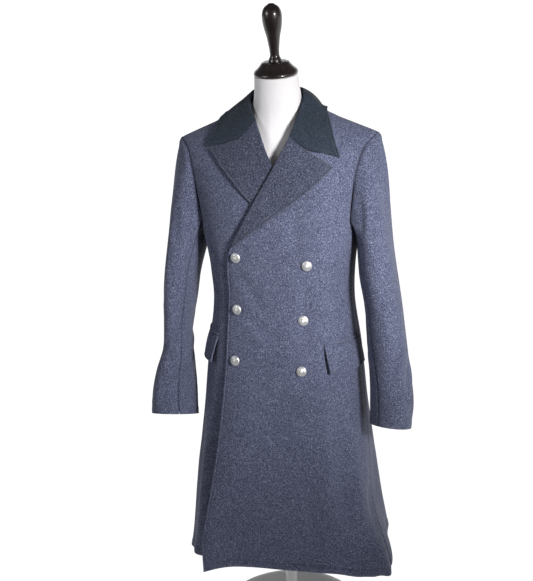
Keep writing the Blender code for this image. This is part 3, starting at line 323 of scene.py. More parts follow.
# Creases. Each runs from a first to a second place, in degrees round the piece and
# metres of height. width is its half width, depth how far it goes in (or out, if below zero), and
# bow bends it sideways
Crease = namedtuple("Crease", "turn height turn2 height2 width depth bow")
BODY_CREASES = table(
    Crease, (-24, 1.045, 2, 0.88, 0.014, 0.0016, 0.006), (-20, 0.915, 8, 0.8, 0.012, 0.0013, -0.004),
    (-16, 1.03, 6, 1.01, 0.01, 0.001, 0.003), (24, 1.02, 20, 0.8, 0.015, 0.0018, 0.008),
    (36, 1.06, 33, 0.86, 0.018, -0.0014, -0.006), (16, 1.17, 14, 1.05, 0.014, 0.0014, 0.004),
    (26, 1.165, 24, 1.02, 0.016, -0.0015, 0.004), (44, 1.255, 40, 1.15, 0.012, 0.0018, -0.006),
    (52, 1.23, 46, 1.11, 0.01, 0.0012, 0.005), (56, 1.12, 40, 1.0, 0.014, 0.0012, -0.008),
    (62, 1.06, 48, 0.93, 0.015, 0.0016, -0.01), (70, 0.96, 40, 0.905, 0.014, 0.0016, 0.006),
    (72, 0.9, 46, 0.87, 0.012, 0.0012, 0.004), (8, 0.76, 2, 0.43, 0.026, 0.0034, 0.01),
    (-16, 0.74, -22, 0.3, 0.03, -0.003, 0.006), (30, 0.72, 26, 0.25, 0.03, -0.0036, -0.006),
    (42, 0.56, 46, 0.232, 0.022, 0.003, 0.006), (58, 0.7, 64, 0.3, 0.026, -0.003, 0.006),
    (14, 0.44, 10, 0.232, 0.022, 0.003, -0.004), (-34, 0.42, -36, 0.232, 0.02, 0.0026, 0.004),
    (-58, 1.15, -44, 1.01, 0.014, 0.0018, 0.008), (-64, 1.03, -46, 0.9, 0.013, 0.0016, 0.008),
    (-72, 0.93, -48, 0.89, 0.012, 0.0014, -0.005), (-64, 0.66, -70, 0.26, 0.024, 0.003, 0.006),
    (-82, 0.56, -86, 0.24, 0.02, -0.0024, 0.004), (80, 0.48, 84, 0.236, 0.02, 0.0024, -0.004),
    (104, 0.93, 140, 0.9, 0.014, 0.002, 0.008), (108, 0.89, 150, 0.868, 0.013, 0.0016, -0.006),
    (-104, 0.94, -142, 0.905, 0.014, 0.0019, -0.008), (-110, 0.88, -150, 0.872, 0.012, 0.0014, 0.006),
    (118, 1.16, 140, 0.99, 0.016, 0.0022, 0.01), (-120, 1.15, -142, 1.0, 0.016, 0.002, -0.01),
    (128, 1.04, 156, 0.93, 0.013, 0.0014, 0.006), (-132, 1.05, -158, 0.94, 0.013, 0.0015, -0.006),
    (160, 1.29, -166, 1.284, 0.014, 0.0014, 0.006), (132, 0.7, 136, 0.24, 0.026, 0.0036, 0.008),
    (-134, 0.68, -138, 0.24, 0.026, 0.0034, -0.008), (156, 0.6, 160, 0.236, 0.024, -0.003, 0.006),
    (-158, 0.64, -162, 0.236, 0.026, -0.0032, -0.004), (104, 0.52, 106, 0.24, 0.02, -0.0026, 0.004),
    (-102, 0.5, -106, 0.24, 0.022, -0.0026, 0.004),
)
SLEEVE_CREASES = {
    "left": table(
        Crease, (60, 0.845, 118, 0.735, 0.011, 0.0036, 0.01), (30, 0.8, 78, 0.69, 0.011, 0.0032, 0.01),
        (88, 0.765, 40, 0.65, 0.009, -0.0026, 0.006), (10, 0.745, 60, 0.64, 0.01, 0.0024, 0.008),
        (110, 0.9, 70, 0.96, 0.012, 0.002, 0.006), (100, 1.06, 66, 1.18, 0.013, 0.0022, -0.01),
        (124, 1.08, 96, 1.2, 0.01, 0.0018, -0.008), (58, 1.24, 48, 0.96, 0.016, -0.0018, 0.01),
        (250, 0.86, 205, 0.78, 0.012, 0.003, -0.01), (262, 0.8, 200, 0.735, 0.011, 0.0026, 0.008),
        (280, 0.9, 320, 0.84, 0.014, 0.002, 0.006), (240, 1.05, 290, 1.18, 0.014, 0.0022, 0.01),
        (180, 0.9, 160, 0.82, 0.012, 0.002, 0.004), (330, 0.78, 350, 0.66, 0.014, 0.0018, -0.006),
    ),
    "right": table(
        Crease, (128, 0.86, 96, 0.74, 0.011, 0.0026, -0.008), (140, 0.83, 60, 0.8, 0.011, 0.003, 0.008),
        (146, 0.79, 70, 0.765, 0.01, 0.0026, -0.006), (40, 0.9, 60, 0.98, 0.014, 0.0016, 0.006),
        (104, 1.05, 70, 1.18, 0.013, 0.0024, -0.01), (126, 1.07, 98, 1.19, 0.01, 0.0018, -0.008),
        (70, 1.16, 84, 0.92, 0.015, -0.002, 0.01), (20, 0.76, 50, 0.64, 0.013, 0.0018, 0.006),
        (110, 0.74, 104, 0.62, 0.012, 0.0018, 0.004), (245, 0.86, 200, 0.8, 0.012, 0.003, -0.01),
        (262, 0.79, 205, 0.75, 0.011, 0.0026, 0.008), (285, 0.88, 325, 0.83, 0.014, 0.002, 0.006),
        (240, 1.06, 292, 1.17, 0.014, 0.0022, 0.01), (330, 0.76, 350, 0.65, 0.014, 0.0016, -0.006),
    ),
}
CREASE_FADE = 0.32
CREASE_RIDGE = 0.42
CREASE_DEPTH = 1.6
BODY_RADIUS = 0.205
SLEEVE_RADIUS = 0.066
SWELL = 0.00045
LAPEL_SWELL = 0.0016
COLLAR_EDGE = (0.0, 0.0007, 0.0018, 0.0034, 0.0052, 0.0064, 0.0073, 0.0082, 0.0095, 0.0120, 0.0160)
UNDER_SINK = 0.0014
BREAK_HEIGHT = 1.059
HEAD_PLACE = 0.012
HEAD_WIDTH = 0.009
HEAD_RISE = 0.0025

STITCH_LENGTH = 0.0034
STITCH_PITCH = 0.0044
STITCH_RADIUS = 0.00036
STITCH_SINK = 0.00012

# The form, buttons and turned parts
FORM_SEGMENTS = 96
NECK_TILT_FROM = 1.42
FORM_END_ROUND = ((0.0, 0.0), (0.012, 0.0008), (0.03, 0.0016), (0.07, 0.0022))
CORD_RADIUS = 0.0110
CORD_WIDTH = 0.0008
CORD_RISE = 0.0006
CORD_TURNS = 44
CORD_SLANT = 900.0
PEBBLE_SIZE = 0.0016
PEBBLE_RISE = 0.00022
TURNED_SEGMENTS = 96

# The sides are the wearer's, so left is +x
SIGN = {"left": 1, "right": -1}
Finish = namedtuple("Finish", "material slot")

# How the cloth is divided
NORMAL_STEP = 0.0004
SPREAD_RISE = 1.5
EDGE_SHARE = 0.25
UPPER_CROWDING = 1.6
CAP_CROWDING = 1.3
FRONT_WIDTH = {"left": 0.56, "right": 0.34}
BACK_WIDTH = 0.30
LAPEL_LENGTH = 0.32
LAPEL_BREADTH = 0.115
LAPEL_ROWS = 62
COLLAR_LENGTH = 0.56
COLLAR_BREADTH = 0.10
COLLAR_COLUMNS = 120
FORM_MIDDLE = 1.22
FORM_LOWER_ROWS = 40
FORM_UPPER_ROWS = 66

# Edges of a sheet of cloth: three lines of points round the half round, and how far its faces draw in
RIM_ANGLES = (0.30 * math.pi, 0.0, -0.30 * math.pi)
RIM_DRAW = 0.8

# Reliefs: where creases are held, the ridge beside each, hems, button pull and slow unevenness
CREASE_HELD = 0.022
RIDGE_PLACE = 2.1
RIDGE_WIDTH = 1.4
BREAK_FADE = 0.03
UNDER_FADE = 0.05
NOTCH_FADE = 0.06
HEM_FADE = 0.004
HEM_THICK = 0.0006
HEM_GROOVE = 0.0011
CUFF_HELD = 0.004
CUFF_FADE = 0.03
HEAD_FROM = 1.25
HEAD_FADE = 0.8
PULL_DEPTH = 0.0008
PULL_WIDTH = 0.030
PULL_HEIGHT = 0.016
COLLAR_SINK = 0.0006
BODY_SWELL_LENGTH = 0.16
SLEEVE_SWELL_LENGTH = 0.11
LAPEL_SWELL_LENGTH = 0.10
COLLAR_SWELL_LENGTH = 0.09
FLAP_SWELL_LENGTH = 0.07

# Worn edges are paler, and seams are darkened with painted shade, over these widths
EDGE_TONE_WIDTH = 0.0026
SEAM_TONE_WIDTH = 0.0022
PAINTED_SEAM_SHADE = 0.8

# A stitch: place along it and thickness there, how flat it lies, and how far its direction is read
STITCH_PROFILE = ((-0.5, 0.35), (-0.32, 1.0), (0.32, 1.0), (0.5, 0.35))
STITCH_FLATNESS = 1.2
STITCH_LOOK = 0.001

# The middle of a button's face, and its grooves: radius, half width and depth
BOSS_RADIUS = 0.0042
BOSS_FADE = 0.0008
BOSS_RISE = 0.0005
BUTTON_GROOVES = ((0.0050, 0.0005, 0.0004), (0.0092, 0.0006, 0.0003))
BUTTON_TONE_RISE = 0.0005
BUTTON_BACK_SHARE = 0.93
# Rounding of the neck cap's edges, and how far the finial's top rises past its last point
CAP_ROUND = 0.0012
FINIAL_TOP_RISE = 0.0022
# The flange at the foot of the pole: how far it stands out at each height
FLANGE = ((0.0, 0.0), (0.004, 0.0005), (0.006, 0.004), (0.006, 0.018), (0.004, 0.0225), (0.0, 0.024))

# Studio: the camera stands 2.5 m off, a little above the chest and to the viewer's right
LENS = 62.83
CAMERA_PLACE = (0.6048, -2.4257, 1.62)
CAMERA_YAW = 14.95
CAMERA_PITCH = 15.5
CAMERA_ROLL = 2.0
WORLD_STRENGTH = 0.11
FLOOR_FRONT = -0.9
FLOOR_BACK = -0.3
FLOOR_GLOW = (0.03, 1.0)
WALL_Y = 30.0
WALL_HEIGHT = 16.0
FLOOR_RADIUS = 40.0
FLOOR_HEIGHT = -0.0005
# Name, place, target, size, power, spread in degrees and colour
LAMPS = (
    ("key", (1.70, -1.60, 1.70), (0.15, -0.12, 1.08), 0.5, 5.4, 42.0, (1.0, 0.99, 0.98)),
    ("fill", (-1.9, -1.9, 2.0), (0.05, 0.0, 1.36), 1.2, 3.1, 64.0, (0.97, 0.98, 1.0)),
)


def smooth(places, values, at):
    """A smooth curve through the values, like a flexible batten held at each place."""
    places = np.asarray(places, float)
    values = np.asarray(values, float)
    at = np.clip(np.asarray(at, float), places[0], places[-1])
    slopes = np.gradient(values, places)
    cell = np.clip(np.searchsorted(places, at, side="right") - 1, 0, len(places) - 2)
    width = places[cell + 1] - places[cell]
    t = (at - places[cell]) / width
    start = (1 + 2 * t) * (1 - t) ** 2 * values[cell] + t * (1 - t) ** 2 * width * slopes[cell]
    end = t * t * (3 - 2 * t) * values[cell + 1] - t * t * (1 - t) * width * slopes[cell + 1]
    return start + end


def ease(amount):
    amount = np.clip(amount, 0.0, 1.0)
    return amount * amount * (3 - 2 * amount)


def unit(vectors):
    return vectors / np.linalg.norm(vectors, axis=-1, keepdims=True)


def bell(distance, width):
    """1 in the middle, falling softly to 0 on both sides."""
    return np.exp(-((distance / width) ** 2))


def run_along(points):
    """The length along a line of points, from its start to each of them."""
    return np.concatenate([[0.0], np.cumsum(np.linalg.norm(np.diff(points, axis=0), axis=1))])


def around(count):
    return np.arange(count) * 2 * math.pi / count


def shoulder_height(x):
    reach = SHOULDER_TIP_X - np.abs(x)
    bend = np.clip(reach - SHOULDER_CURVE_START, 0.0, SHOULDER_CURVE_RUN)
    past = np.maximum(reach - SHOULDER_CURVE_START - SHOULDER_CURVE_RUN, 0.0)
    rise = SHOULDER_SLOPE * reach + SHOULDER_CURVE * (bend ** 2 + 2 * bend * past)
    return SHOULDER_TIP_HEIGHT + rise + SHOULDER_TILT * x


def share_of(level):
    return np.clip((np.asarray(level, float) - ARM_HEIGHT) / SHOULDER_LEVEL, 0.0, 1.0)


def ring_sizes(level):
    """Half width, front and back depths, side seam's y and squareness of the coat at a level."""
    heights = [row.height for row in SECTIONS]
    names = ("half_width", "front", "back", "side_y", "squareness")
    half_width, front, back, side_y, squareness = (
        smooth(heights, [getattr(row, name) for row in SECTIONS], level) for name in names)
    share = share_of(level)
    closing = np.maximum(1 - share ** SHOULDER_ROUND, 0) ** (1 / SHOULDER_EDGE)
    half_width = half_width + SHOULDER_SPREAD * share ** SPREAD_RISE
    return half_width, front * closing, back * closing, side_y, squareness


def centre_x(level):
    """Where the middle of the coat lies at a level: above the armholes it comes back to 0."""
    shift = smooth([row.height for row in SECTIONS], [row.centre_x for row in SECTIONS], level)
    return shift * (1 - share_of(level)) ** 2


def fold_reach(level, turn, over):
    """How far the skirt's folds push the cloth out at a place, and how far they let it dip."""
    reach = np.zeros(np.broadcast(level, turn).shape)
    dip = np.zeros_like(reach)
    degrees = np.degrees(turn)
    for fold in FOLDS:
        away = (degrees - fold.turn + 180.0) % 360.0 - 180.0
        grown = ease((fold.top - np.asarray(level)) / (fold.top - HEM_HEIGHT))
        shape = grown * np.exp(-((away / fold.spread) ** 2))
        reach = reach + (fold.over if over else fold.under) * shape
        dip = dip + (fold.over_dip if over else fold.under_dip) * shape
    return reach, dip


def body(level, turn, over=False):
    """Points on the coat's outer face. turn runs from the front centre, + to the viewer's right."""
    level, turn = np.broadcast_arrays(np.asarray(level, float), np.asarray(turn, float))
    half_width, front, back, side_y, squareness = ring_sizes(level)
    across = np.sin(turn)
    along = np.cos(turn)
    x = centre_x(level) + half_width * np.sign(across) * np.abs(across) ** (2 / squareness)
    depth = np.where(along > 0, front + side_y, back - side_y)
    y = side_y - np.sign(along) * depth * np.abs(along) ** (2 / squareness)
    share = share_of(level)
    height = np.where(level <= ARM_HEIGHT, level, ARM_HEIGHT + share * (shoulder_height(x) - ARM_HEIGHT))
    reach, dip = fold_reach(level, turn, over)
    radius = np.maximum(np.hypot(x, y), 1e-6)
    return np.stack([x * (1 + reach / radius), y * (1 + reach / radius), height - dip], axis=-1)


def body_normal(level, turn, over=False):
    step = NORMAL_STEP
    level = np.clip(np.asarray(level, float), HEM_HEIGHT + step, TOP_LEVEL - step)
    upward = body(level + step, turn, over) - body(level - step, turn, over)
    round_it = body(level, turn + step * 5, over) - body(level, turn - step * 5, over)
    return unit(np.cross(round_it, upward))


def level_of(x, height):
    share = (height - ARM_HEIGHT) / (shoulder_height(x) - ARM_HEIGHT)
    return np.where(height <= ARM_HEIGHT, height, ARM_HEIGHT + SHOULDER_LEVEL * np.clip(share, 0, 1))


def turn_of(x, level, back=False):
    half_width, _, _, _, squareness = ring_sizes(level)
    across = x - centre_x(level)
    ratio = np.clip(np.abs(across) / half_width, 0.0, 1.0)
    turn = np.sign(across) * np.arcsin(ratio ** (squareness / 2))
    return np.where(back, math.pi - turn, turn) if back else turn


def edge_turns(points, levels):
    """Where an edge drawn from the front crosses each level."""
    x = np.array([point.x for point in points])
    height = np.array([point.height for point in points])
    crossing = smooth(level_of(x, height), x, levels)
    return turn_of(crossing, levels)


def armhole_turns(levels, back):
    shares = [row.share for row in ARMHOLE]
    degrees = [row.back if back else row.front for row in ARMHOLE]
    turns = np.radians(smooth(shares, degrees, share_of(levels)))
    turns = np.where(levels < ARM_HEIGHT, math.pi / 2, turns)
    return math.pi - turns if back else turns


def grid_normals(points, centres, closed=False):
    """Normals of a grid of points, facing away from the centres. Closed rows run round a piece."""
    if closed:
        across = np.roll(points, -1, axis=1) - np.roll(points, 1, axis=1)
    else:
        across = np.gradient(points, axis=1)
    normals = np.cross(across, np.gradient(points, axis=0))
    return unit(-normals if np.sum(normals * (points - centres)) < 0 else normals)


def lap_offset(points):
    """How far the top front stands off the coat's plain surface to clear what it laps."""
    x = points[..., 0]
    height = points[..., 2]
    inside = 1 - ease((x - LAP_END_X) / LAP_FADE)
    over_front = 1 - ease((height - LAP_TOP) / LAP_TOP_FADE)
    over_lapel = ease((height - LAPEL_LAP_FOOT) / LAPEL_LAP_FADE)
    over_lapel = over_lapel * (1 - ease((height - LAPEL_LAP_TOP) / LAP_TOP_FADE))
    return inside * (LAP_OFFSET * over_front + LAPEL_LAP_OFFSET * over_lapel)


def shoulder_mitre(normals):
    """Turn the shoulder seam's thickness straight across the seam, so that both panels meet there."""
    normals[-1, :, 1] = 0.0
    normals[-1] = unit(normals[-1])
    return normals


def neckline_turns(levels):
    """The back's inner edge: the centre back seam, then the curve of the neckline."""
    share = share_of(levels)
    rise = np.clip((1 - share) / (1 - NECKLINE_SHARE), 0.0, 1.0)
    x = NECK_POINT_X * np.sqrt(1 - rise ** 2)
    return turn_of(centre_x(levels) + x, levels, back=True)


def front_points(x, height, over):
    """Points and normals on a front seen at x and height."""
    level = level_of(x, height)
    turn = turn_of(x, level)
    return body(level, turn, over), body_normal(level, turn, over)


def clear_of_shoulders(points, clearance):
    """Move points out until they lie at least a clearance off the coat's shoulders."""
    def depth(p):
        x = p[..., 0]
        share = (p[..., 2] - ARM_HEIGHT) / (shoulder_height(x) - ARM_HEIGHT)
        half_width = CHEST_HALF_WIDTH + SHOULDER_SPREAD * np.clip(share, 0, None) ** SPREAD_RISE
        room = np.maximum(1 - (np.abs(x) / half_width) ** CHEST_SQUARENESS, 1e-4)
        reach = np.where(p[..., 1] < 0, CHEST_FRONT, CHEST_BACK) * room ** (1 / CHEST_SQUARENESS)
        size = np.abs(p[..., 1] / reach) ** SHOULDER_EDGE + np.clip(share, 0, None) ** SHOULDER_ROUND
        return size - 1
    moved = points.copy()
    step = 1e-4
    for _ in range(12):
        value = depth(moved)
        slope = np.stack([(depth(moved + step * axis) - depth(moved - step * axis)) / (2 * step)
                          for axis in np.eye(3)], axis=-1)
        steep = np.maximum(np.linalg.norm(slope, axis=-1), 1e-6)
        short = np.clip(clearance - value / steep, 0.0, 0.004)
        moved = moved + slope / steep[..., None] * short[..., None]
    return moved


def collar_lines(places):
    """The roll, middle and outer edge of the collar at places from its right end to its left."""
    known = [row.place for row in COLLAR]
    lines = []
    for part in ("roll", "mid", "edge"):
        values = np.array([getattr(row, part) for row in COLLAR])
        lines.append(np.stack([smooth(known, values[:, axis], places) for axis in range(3)], axis=-1))
    return lines


def collar_end(side, shares):
    """The collar's front end: along the gorge seam to the notch, then out to the collar point."""
    over = side == "left"
    gorge = OVER_GORGE if over else UNDER_GORGE
    tip = OVER_COLLAR_TIP if over else UNDER_COLLAR_TIP
    line = (gorge[0], gorge[1], tip)
    x = np.interp(shares, (0.0, GORGE_SHARE, 1.0), [point.x for point in line])
    height = np.interp(shares, (0.0, GORGE_SHARE, 1.0), [point.height for point in line]) + SEAM_GAP
    points, normals = front_points(x, height, over)
    offset = (lap_offset(points) if over else np.zeros(points.shape[:-1])) + LAYER_GAP
    return points + normals * offset[..., None], normals


def wander(points, length, seed, count=9):
    """A slow, smooth unevenness from -1 to 1 over the points, the same each run."""
    source = np.random.default_rng(seed)
    ways = unit(source.normal(size=(count, 3)))
    steps = source.uniform(0.7, 1.4, count) * 2 * math.pi / length
    starts = source.uniform(0, 2 * math.pi, count)
    waves = np.sin(points @ (ways * steps[:, None]).T + starts)
    return waves.sum(axis=-1) / math.sqrt(count) / 1.4


def crease_field(turn, height, creases, radius):
    """How far creases move the cloth out, at places round a piece."""
    total = np.zeros(np.broadcast(turn, height).shape)
    for crease in creases:
        away = (turn - math.radians(crease.turn) + math.pi) % (2 * math.pi) - math.pi
        run_across = math.radians((crease.turn2 - crease.turn + 180) % 360 - 180) * radius
        run_up = crease.height2 - crease.height
        length = math.hypot(run_across, run_up)
        across, up = away * radius, height - crease.height
        along = (across * run_across + up * run_up) / length ** 2
        inside = np.clip(along, 0, 1)
        off = (across * run_up - up * run_across) / length - crease.bow * 4 * inside * (1 - inside)
        strength = ease(along / CREASE_FADE) * ease((1 - along) / CREASE_FADE)
        ridge = bell(off - crease.width * RIDGE_PLACE, crease.width * RIDGE_WIDTH)
        total -= crease.depth * strength * (bell(off, crease.width) - CREASE_RIDGE * ridge)
    return CREASE_DEPTH * total


def stations(length, count, near=(0.0,), far=(0.0,)):
    """Distances along a row of cloth, close together by its worked edges and even between."""
    near, far = (np.asarray(end) * (min(1.0, EDGE_SHARE * length / end[-1]) if end[-1] else 1.0)
                 for end in (near, far))
    middle = np.linspace(near[-1], length - far[-1], count + 1)[1:-1]
    return np.concatenate([near, middle, length - far[::-1]])


def fine_levels():
    """Levels of a body panel from the hem to the shoulder seam."""
    below = ARM_HEIGHT - HEM_HEIGHT
    lower = HEM_HEIGHT + stations(below, round(below / ROW_STEP), HEM_EDGE)
    climb = np.linspace(0.0, 1.0, UPPER_ROWS + 1)[1:]
    return np.concatenate([lower, ARM_HEIGHT + SHOULDER_LEVEL * (1 - (1 - climb) ** UPPER_CROWDING)])


def panel_turns(levels, first, last, over, width, near, first_gap):
    """Turns of every point of a panel, row by row."""
    rows = []
    for level, start, end, gap in zip(levels, first, last, first_gap):
        turns = np.linspace(start, end, TRACE_POINTS)
        run = run_along(body(level, turns, over))
        places = gap + stations(run[-1] - gap - SEAM_GAP / 2, round(width / COLUMN_STEP), near, SEAM_EDGE)
        rows.append(np.interp(places, run, turns))
    return np.array(rows)


def edge_distances(points):
    """Distances of a grid's points from its first and last column and its first and last row."""
    across = np.cumsum(np.linalg.norm(np.diff(points, axis=1), axis=-1), axis=1)
    across = np.pad(across, ((0, 0), (1, 0)))
    up = np.cumsum(np.linalg.norm(np.diff(points, axis=0), axis=-1), axis=0)
    up = np.pad(up, ((1, 0), (0, 0)))
    return across, across[:, -1:] - across, up, up[-1:] - up


def worked_edge(distance, stitch):
    """The relief of a turned and stitched edge: it stands up, and the stitching draws a groove."""
    bulge = np.where(distance < stitch, np.sin(math.pi * np.clip(distance / stitch, 0, 1)), 0.0)
    return EDGE_BULGE * bulge - GROOVE_DEPTH * bell(distance - stitch, GROOVE_WIDTH)


def seam_dip(distance):
    return -SEAM_DIP * bell(distance, SEAM_DIP_WIDTH)


def pucker(points, distance, seed):
    """Small ripples that sewing draws into the cloth beside a seam or a stitched edge."""
    return PUCKER * bell(distance, PUCKER_REACH) * wander(points, PUCKER_LENGTH, seed)


def rounded_wall(node_name, outer, inner, tone, finish):
    """A closed sheet of cloth between two grids of points, with half-round edges, for a solid."""
    rows, columns = outer.shape[:2]
    grids = rows * columns
    index = np.arange(grids).reshape(rows, columns)
    face = np.stack([index[:-1, :-1], index[:-1, 1:], index[1:, 1:], index[1:, :-1]], axis=-1).reshape(-1, 4)
    faces = [face, face[:, ::-1] + grids]
    rim = np.concatenate([index[0, :], index[1:, -1], index[-1, -2::-1], index[-2:0:-1, 0]])
    upper, lower = outer.reshape(-1, 3), inner.reshape(-1, 3)
    step_in = np.concatenate([index[1, :], index[1:, -2], index[-2, -2::-1], index[-2:0:-1, 1]])
    corners = [0, columns - 1, columns + rows - 2, 2 * columns + rows - 3]
    step_in[corners] = (index[1, 1], index[1, -2], index[-2, -2], index[-2, 1])
    out_way = upper[rim] - upper[step_in] + lower[rim] - lower[step_in]
    thick = upper[rim] - lower[rim]
    half = np.linalg.norm(thick, axis=1, keepdims=True) / 2
    up_way = thick / (2 * half)
    out_way -= up_way * np.sum(out_way * up_way, axis=1, keepdims=True)
    out_way /= np.maximum(np.linalg.norm(out_way, axis=1, keepdims=True), 1e-9)
    middle = (upper[rim] + lower[rim]) / 2 - out_way * half
    loops, rounds = [rim], []
    for step, angle in enumerate(RIM_ANGLES):
        rounds.append(middle + out_way * half * math.cos(angle) + up_way * half * math.sin(angle))
        loops.append(2 * grids + step * len(rim) + np.arange(len(rim)))
    upper[rim] -= out_way * half * RIM_DRAW
    lower[rim] -= out_way * half * RIM_DRAW
    loops.append(rim + grids)
    for one, two in zip(loops, loops[1:]):
        faces.append(np.stack([np.roll(one, -1), one, two, np.roll(two, -1)], axis=-1))
    tone = tone.ravel()
    every_tone = np.concatenate([tone, tone, np.tile(tone[rim], len(rounds))])
    points = np.concatenate([upper, lower, *rounds])
    faces = np.concatenate(faces).tolist()
    return add_piece(node_name + "_cloth", points, faces, finish, every_tone, node_name)


def add_piece(name, points, faces, finish, tone=None, node_name=None):
    """A piece of the model in a finish, which may stand for one of the solids."""
    mesh = bpy.data.meshes.new(name)
    mesh.from_pydata(points.tolist(), [], faces)
    if tone is not None:
        layer = mesh.attributes.new("tone", "FLOAT", "POINT")
        layer.data.foreach_set("value", np.asarray(tone, np.float32).ravel())
    shell = bmesh.new()
    shell.from_mesh(mesh)
    bmesh.ops.recalc_face_normals(shell, faces=shell.faces)
    shell.to_mesh(mesh)
    shell.free()
    mesh.shade_smooth()
    mesh.materials.append(finish.material)
    piece = bpy.data.objects.new(name, mesh)
    bpy.context.scene.collection.objects.link(piece)
    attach(piece, "root")
    if node_name:
        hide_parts(node_name)
    return piece


def at_axes(places, known, values):
    return np.stack([np.interp(places, known, values[:, axis]) for axis in range(3)], axis=-1)


def line_at(points, normals, distances, away, by_column):
    """The line on a cloth's face that runs a fixed distance from one edge, with its normals."""
    if by_column:
        points, normals, distances = points.swapaxes(0, 1), normals.swapaxes(0, 1), distances.T
    line, facing = [], []
    for p, n, d in zip(points, normals, distances):
        order = np.argsort(d)
        line.append(at_axes(away, d[order], p[order]))
        facing.append(at_axes(away, d[order], n[order]))
    return np.array(line), np.array(facing)


def stitches(line, facing, first):
    """Points and faces of a row of stitches, each a small rounded thread lying in its groove."""
    run = run_along(line)
    count = int(run[-1] / STITCH_PITCH)
    centres = (np.arange(count) + 0.5) * run[-1] / max(count, 1)
    here = at_axes(centres, run, line)
    way = at_axes(centres + STITCH_LOOK, run, line) - at_axes(centres - STITCH_LOOK, run, line)
    way /= np.maximum(np.linalg.norm(way, axis=-1, keepdims=True), 1e-9)
    up = at_axes(centres, run, facing)
    up = unit(up - way * np.sum(up * way, axis=-1, keepdims=True))
    side = np.cross(way, up)
    points = []
    for place, size in STITCH_PROFILE:
        for angle in np.radians((45, 135, 225, 315)):
            arm = (side * math.cos(angle) * STITCH_FLATNESS + up * math.sin(angle)) * STITCH_RADIUS * size
            points.append(here + way * place * STITCH_LENGTH + up * (STITCH_RADIUS - STITCH_SINK) + arm)
    thread = [(3, 2, 1, 0)]
    for low in (0, 4, 8):
        high = low + 4
        for turn in range(4):
            after = (turn + 1) % 4
            thread.append((low + turn, low + after, high + after, high + turn))
    thread.append((12, 13, 14, 15))
    faces = [tuple(first + 16 * stitch + corner for corner in face)
             for stitch in range(count) for face in thread]
    return np.stack(points, axis=1).reshape(-1, 3), faces


def stitch_piece(name, rows, slot):
    """One piece made of several rows of stitches."""
    points, faces = [np.zeros((0, 3))], []
    for line, facing in rows:
        row_points, row_faces = stitches(line, facing, sum(len(part) for part in points))
        points.append(row_points)
        faces += row_faces
    add_piece(name, np.concatenate(points), faces, Finish(THREAD, slot))


def panel(name, levels, turns, free, seed):
    """A front or back panel of the body. free is how far its first edge is a worked one, row by row."""
    front, over = name.startswith("front"), name == "front_left"
    points = body(levels[:, None], turns, over)
    normals = body_normal(levels[:, None], turns, over)
    if over:
        points = points + normals * lap_offset(points)[..., None]
    points[-1, :, 1] += -SEAM_GAP / 2 if front else SEAM_GAP / 2
    normals = shoulder_mitre(normals)
    from_first, from_last, from_hem, from_top = edge_distances(points)
    sewn = np.minimum(from_first, from_last)
    relief = crease_field(turns, points[..., 2], BODY_CREASES, BODY_RADIUS)
    relief = relief * settle_near(sewn) * settle_near(from_top)
    relief += worked_edge(from_first, EDGE_STITCH) * free if front else seam_dip(from_first)
    relief += hem_relief(from_hem) + seam_dip(from_last) + seam_dip(from_top)
    relief += pucker(points, sewn, seed) + SWELL * wander(points, BODY_SWELL_LENGTH, 3)
    if over:
        relief += button_pull(points)
    elif front:
        lapped = 1 - ease(-points[..., 0] / UNDER_FADE)
        relief = relief * (1 - lapped) - UNDER_SINK * lapped
    outer = points + normals * relief[..., None]
    # Tone: worn edges paler, and painted shade (below zero) along the seams
    tone = edge_tone(from_hem) - painted_seam_shade(from_last) - painted_seam_shade(from_top)
    tone += edge_tone(from_first) * free if front else -painted_seam_shade(from_first)
    piece = rounded_wall(name, outer, outer - normals * CLOTH, tone, WOOL)
    hem = line_at(outer, normals, from_hem, HEM_STITCH, by_column=True)
    below = points[:, 0, 2] < BREAK_HEIGHT
    edge = line_at(outer[below], normals[below], from_first[below], EDGE_STITCH, by_column=False)
    return piece, edge, hem


def front_panel(side):
    """One front, from its free edge and roll line to the side seam and armhole."""
    over = side == "left"
    levels = fine_levels()
    edge = OVER_EDGE + OVER_ROLL[1:] if over else UNDER_EDGE + UNDER_ROLL[1:]
    # Above the break the cloth rolls over into the lapel, so it ends just short of the roll line
    rolled = ease((levels - BREAK_HEIGHT) / BREAK_FADE)
    to_side = SIGN[side] * armhole_turns(levels, back=False)
    turns = panel_turns(levels, edge_turns(edge, levels), to_side, over, FRONT_WIDTH[side], FREE_EDGE,
                        SEAM_GAP * rolled)
    return panel("front_" + side, levels, turns, 1 - rolled[:, None], 11 if over else 12)


def settle_near(distance):
    """Creases fade where sewing holds the cloth."""
    return ease(distance / CREASE_HELD)


def hem_relief(from_hem):
    """The turned-up hem is a little thicker, and its stitching draws a soft line."""
    band = 1 - ease((from_hem - HEM_STITCH) / HEM_FADE)
    return HEM_THICK * band - HEM_GROOVE * bell(from_hem - HEM_STITCH, SEAM_TONE_WIDTH)


def edge_tone(distance):
    return bell(distance, EDGE_TONE_WIDTH)


# Painted shade: how much darker the cloth is painted at a distance from a seam
def painted_seam_shade(distance):
    return PAINTED_SEAM_SHADE * bell(distance, SEAM_TONE_WIDTH)


def button_pull(points):
    """The cloth dips a little round each button, and more beside it than above and below."""
    pull = np.zeros(points.shape[:2])
    for place in BUTTONS:
        pull -= PULL_DEPTH * bell(points[..., 0] - place.x, PULL_WIDTH) \
            * bell(points[..., 2] - place.height, PULL_HEIGHT)
    return pull


def back_panel(side):
    levels = fine_levels()
    from_side = SIGN[side] * armhole_turns(levels, back=True)
    to_centre = SIGN[side] * neckline_turns(levels)
    gaps = np.full(len(levels), SEAM_GAP / 2)
    turns = panel_turns(levels, from_side, to_centre, False, BACK_WIDTH, SEAM_EDGE, gaps)
    return panel("back_" + side, levels, turns, None, 15)


def fine_shares():
    coarse = np.arange(len(ARM_SHARES))
    return np.interp(np.arange(FINE * (len(ARM_SHARES) - 1) + 1) / FINE, coarse, ARM_SHARES)


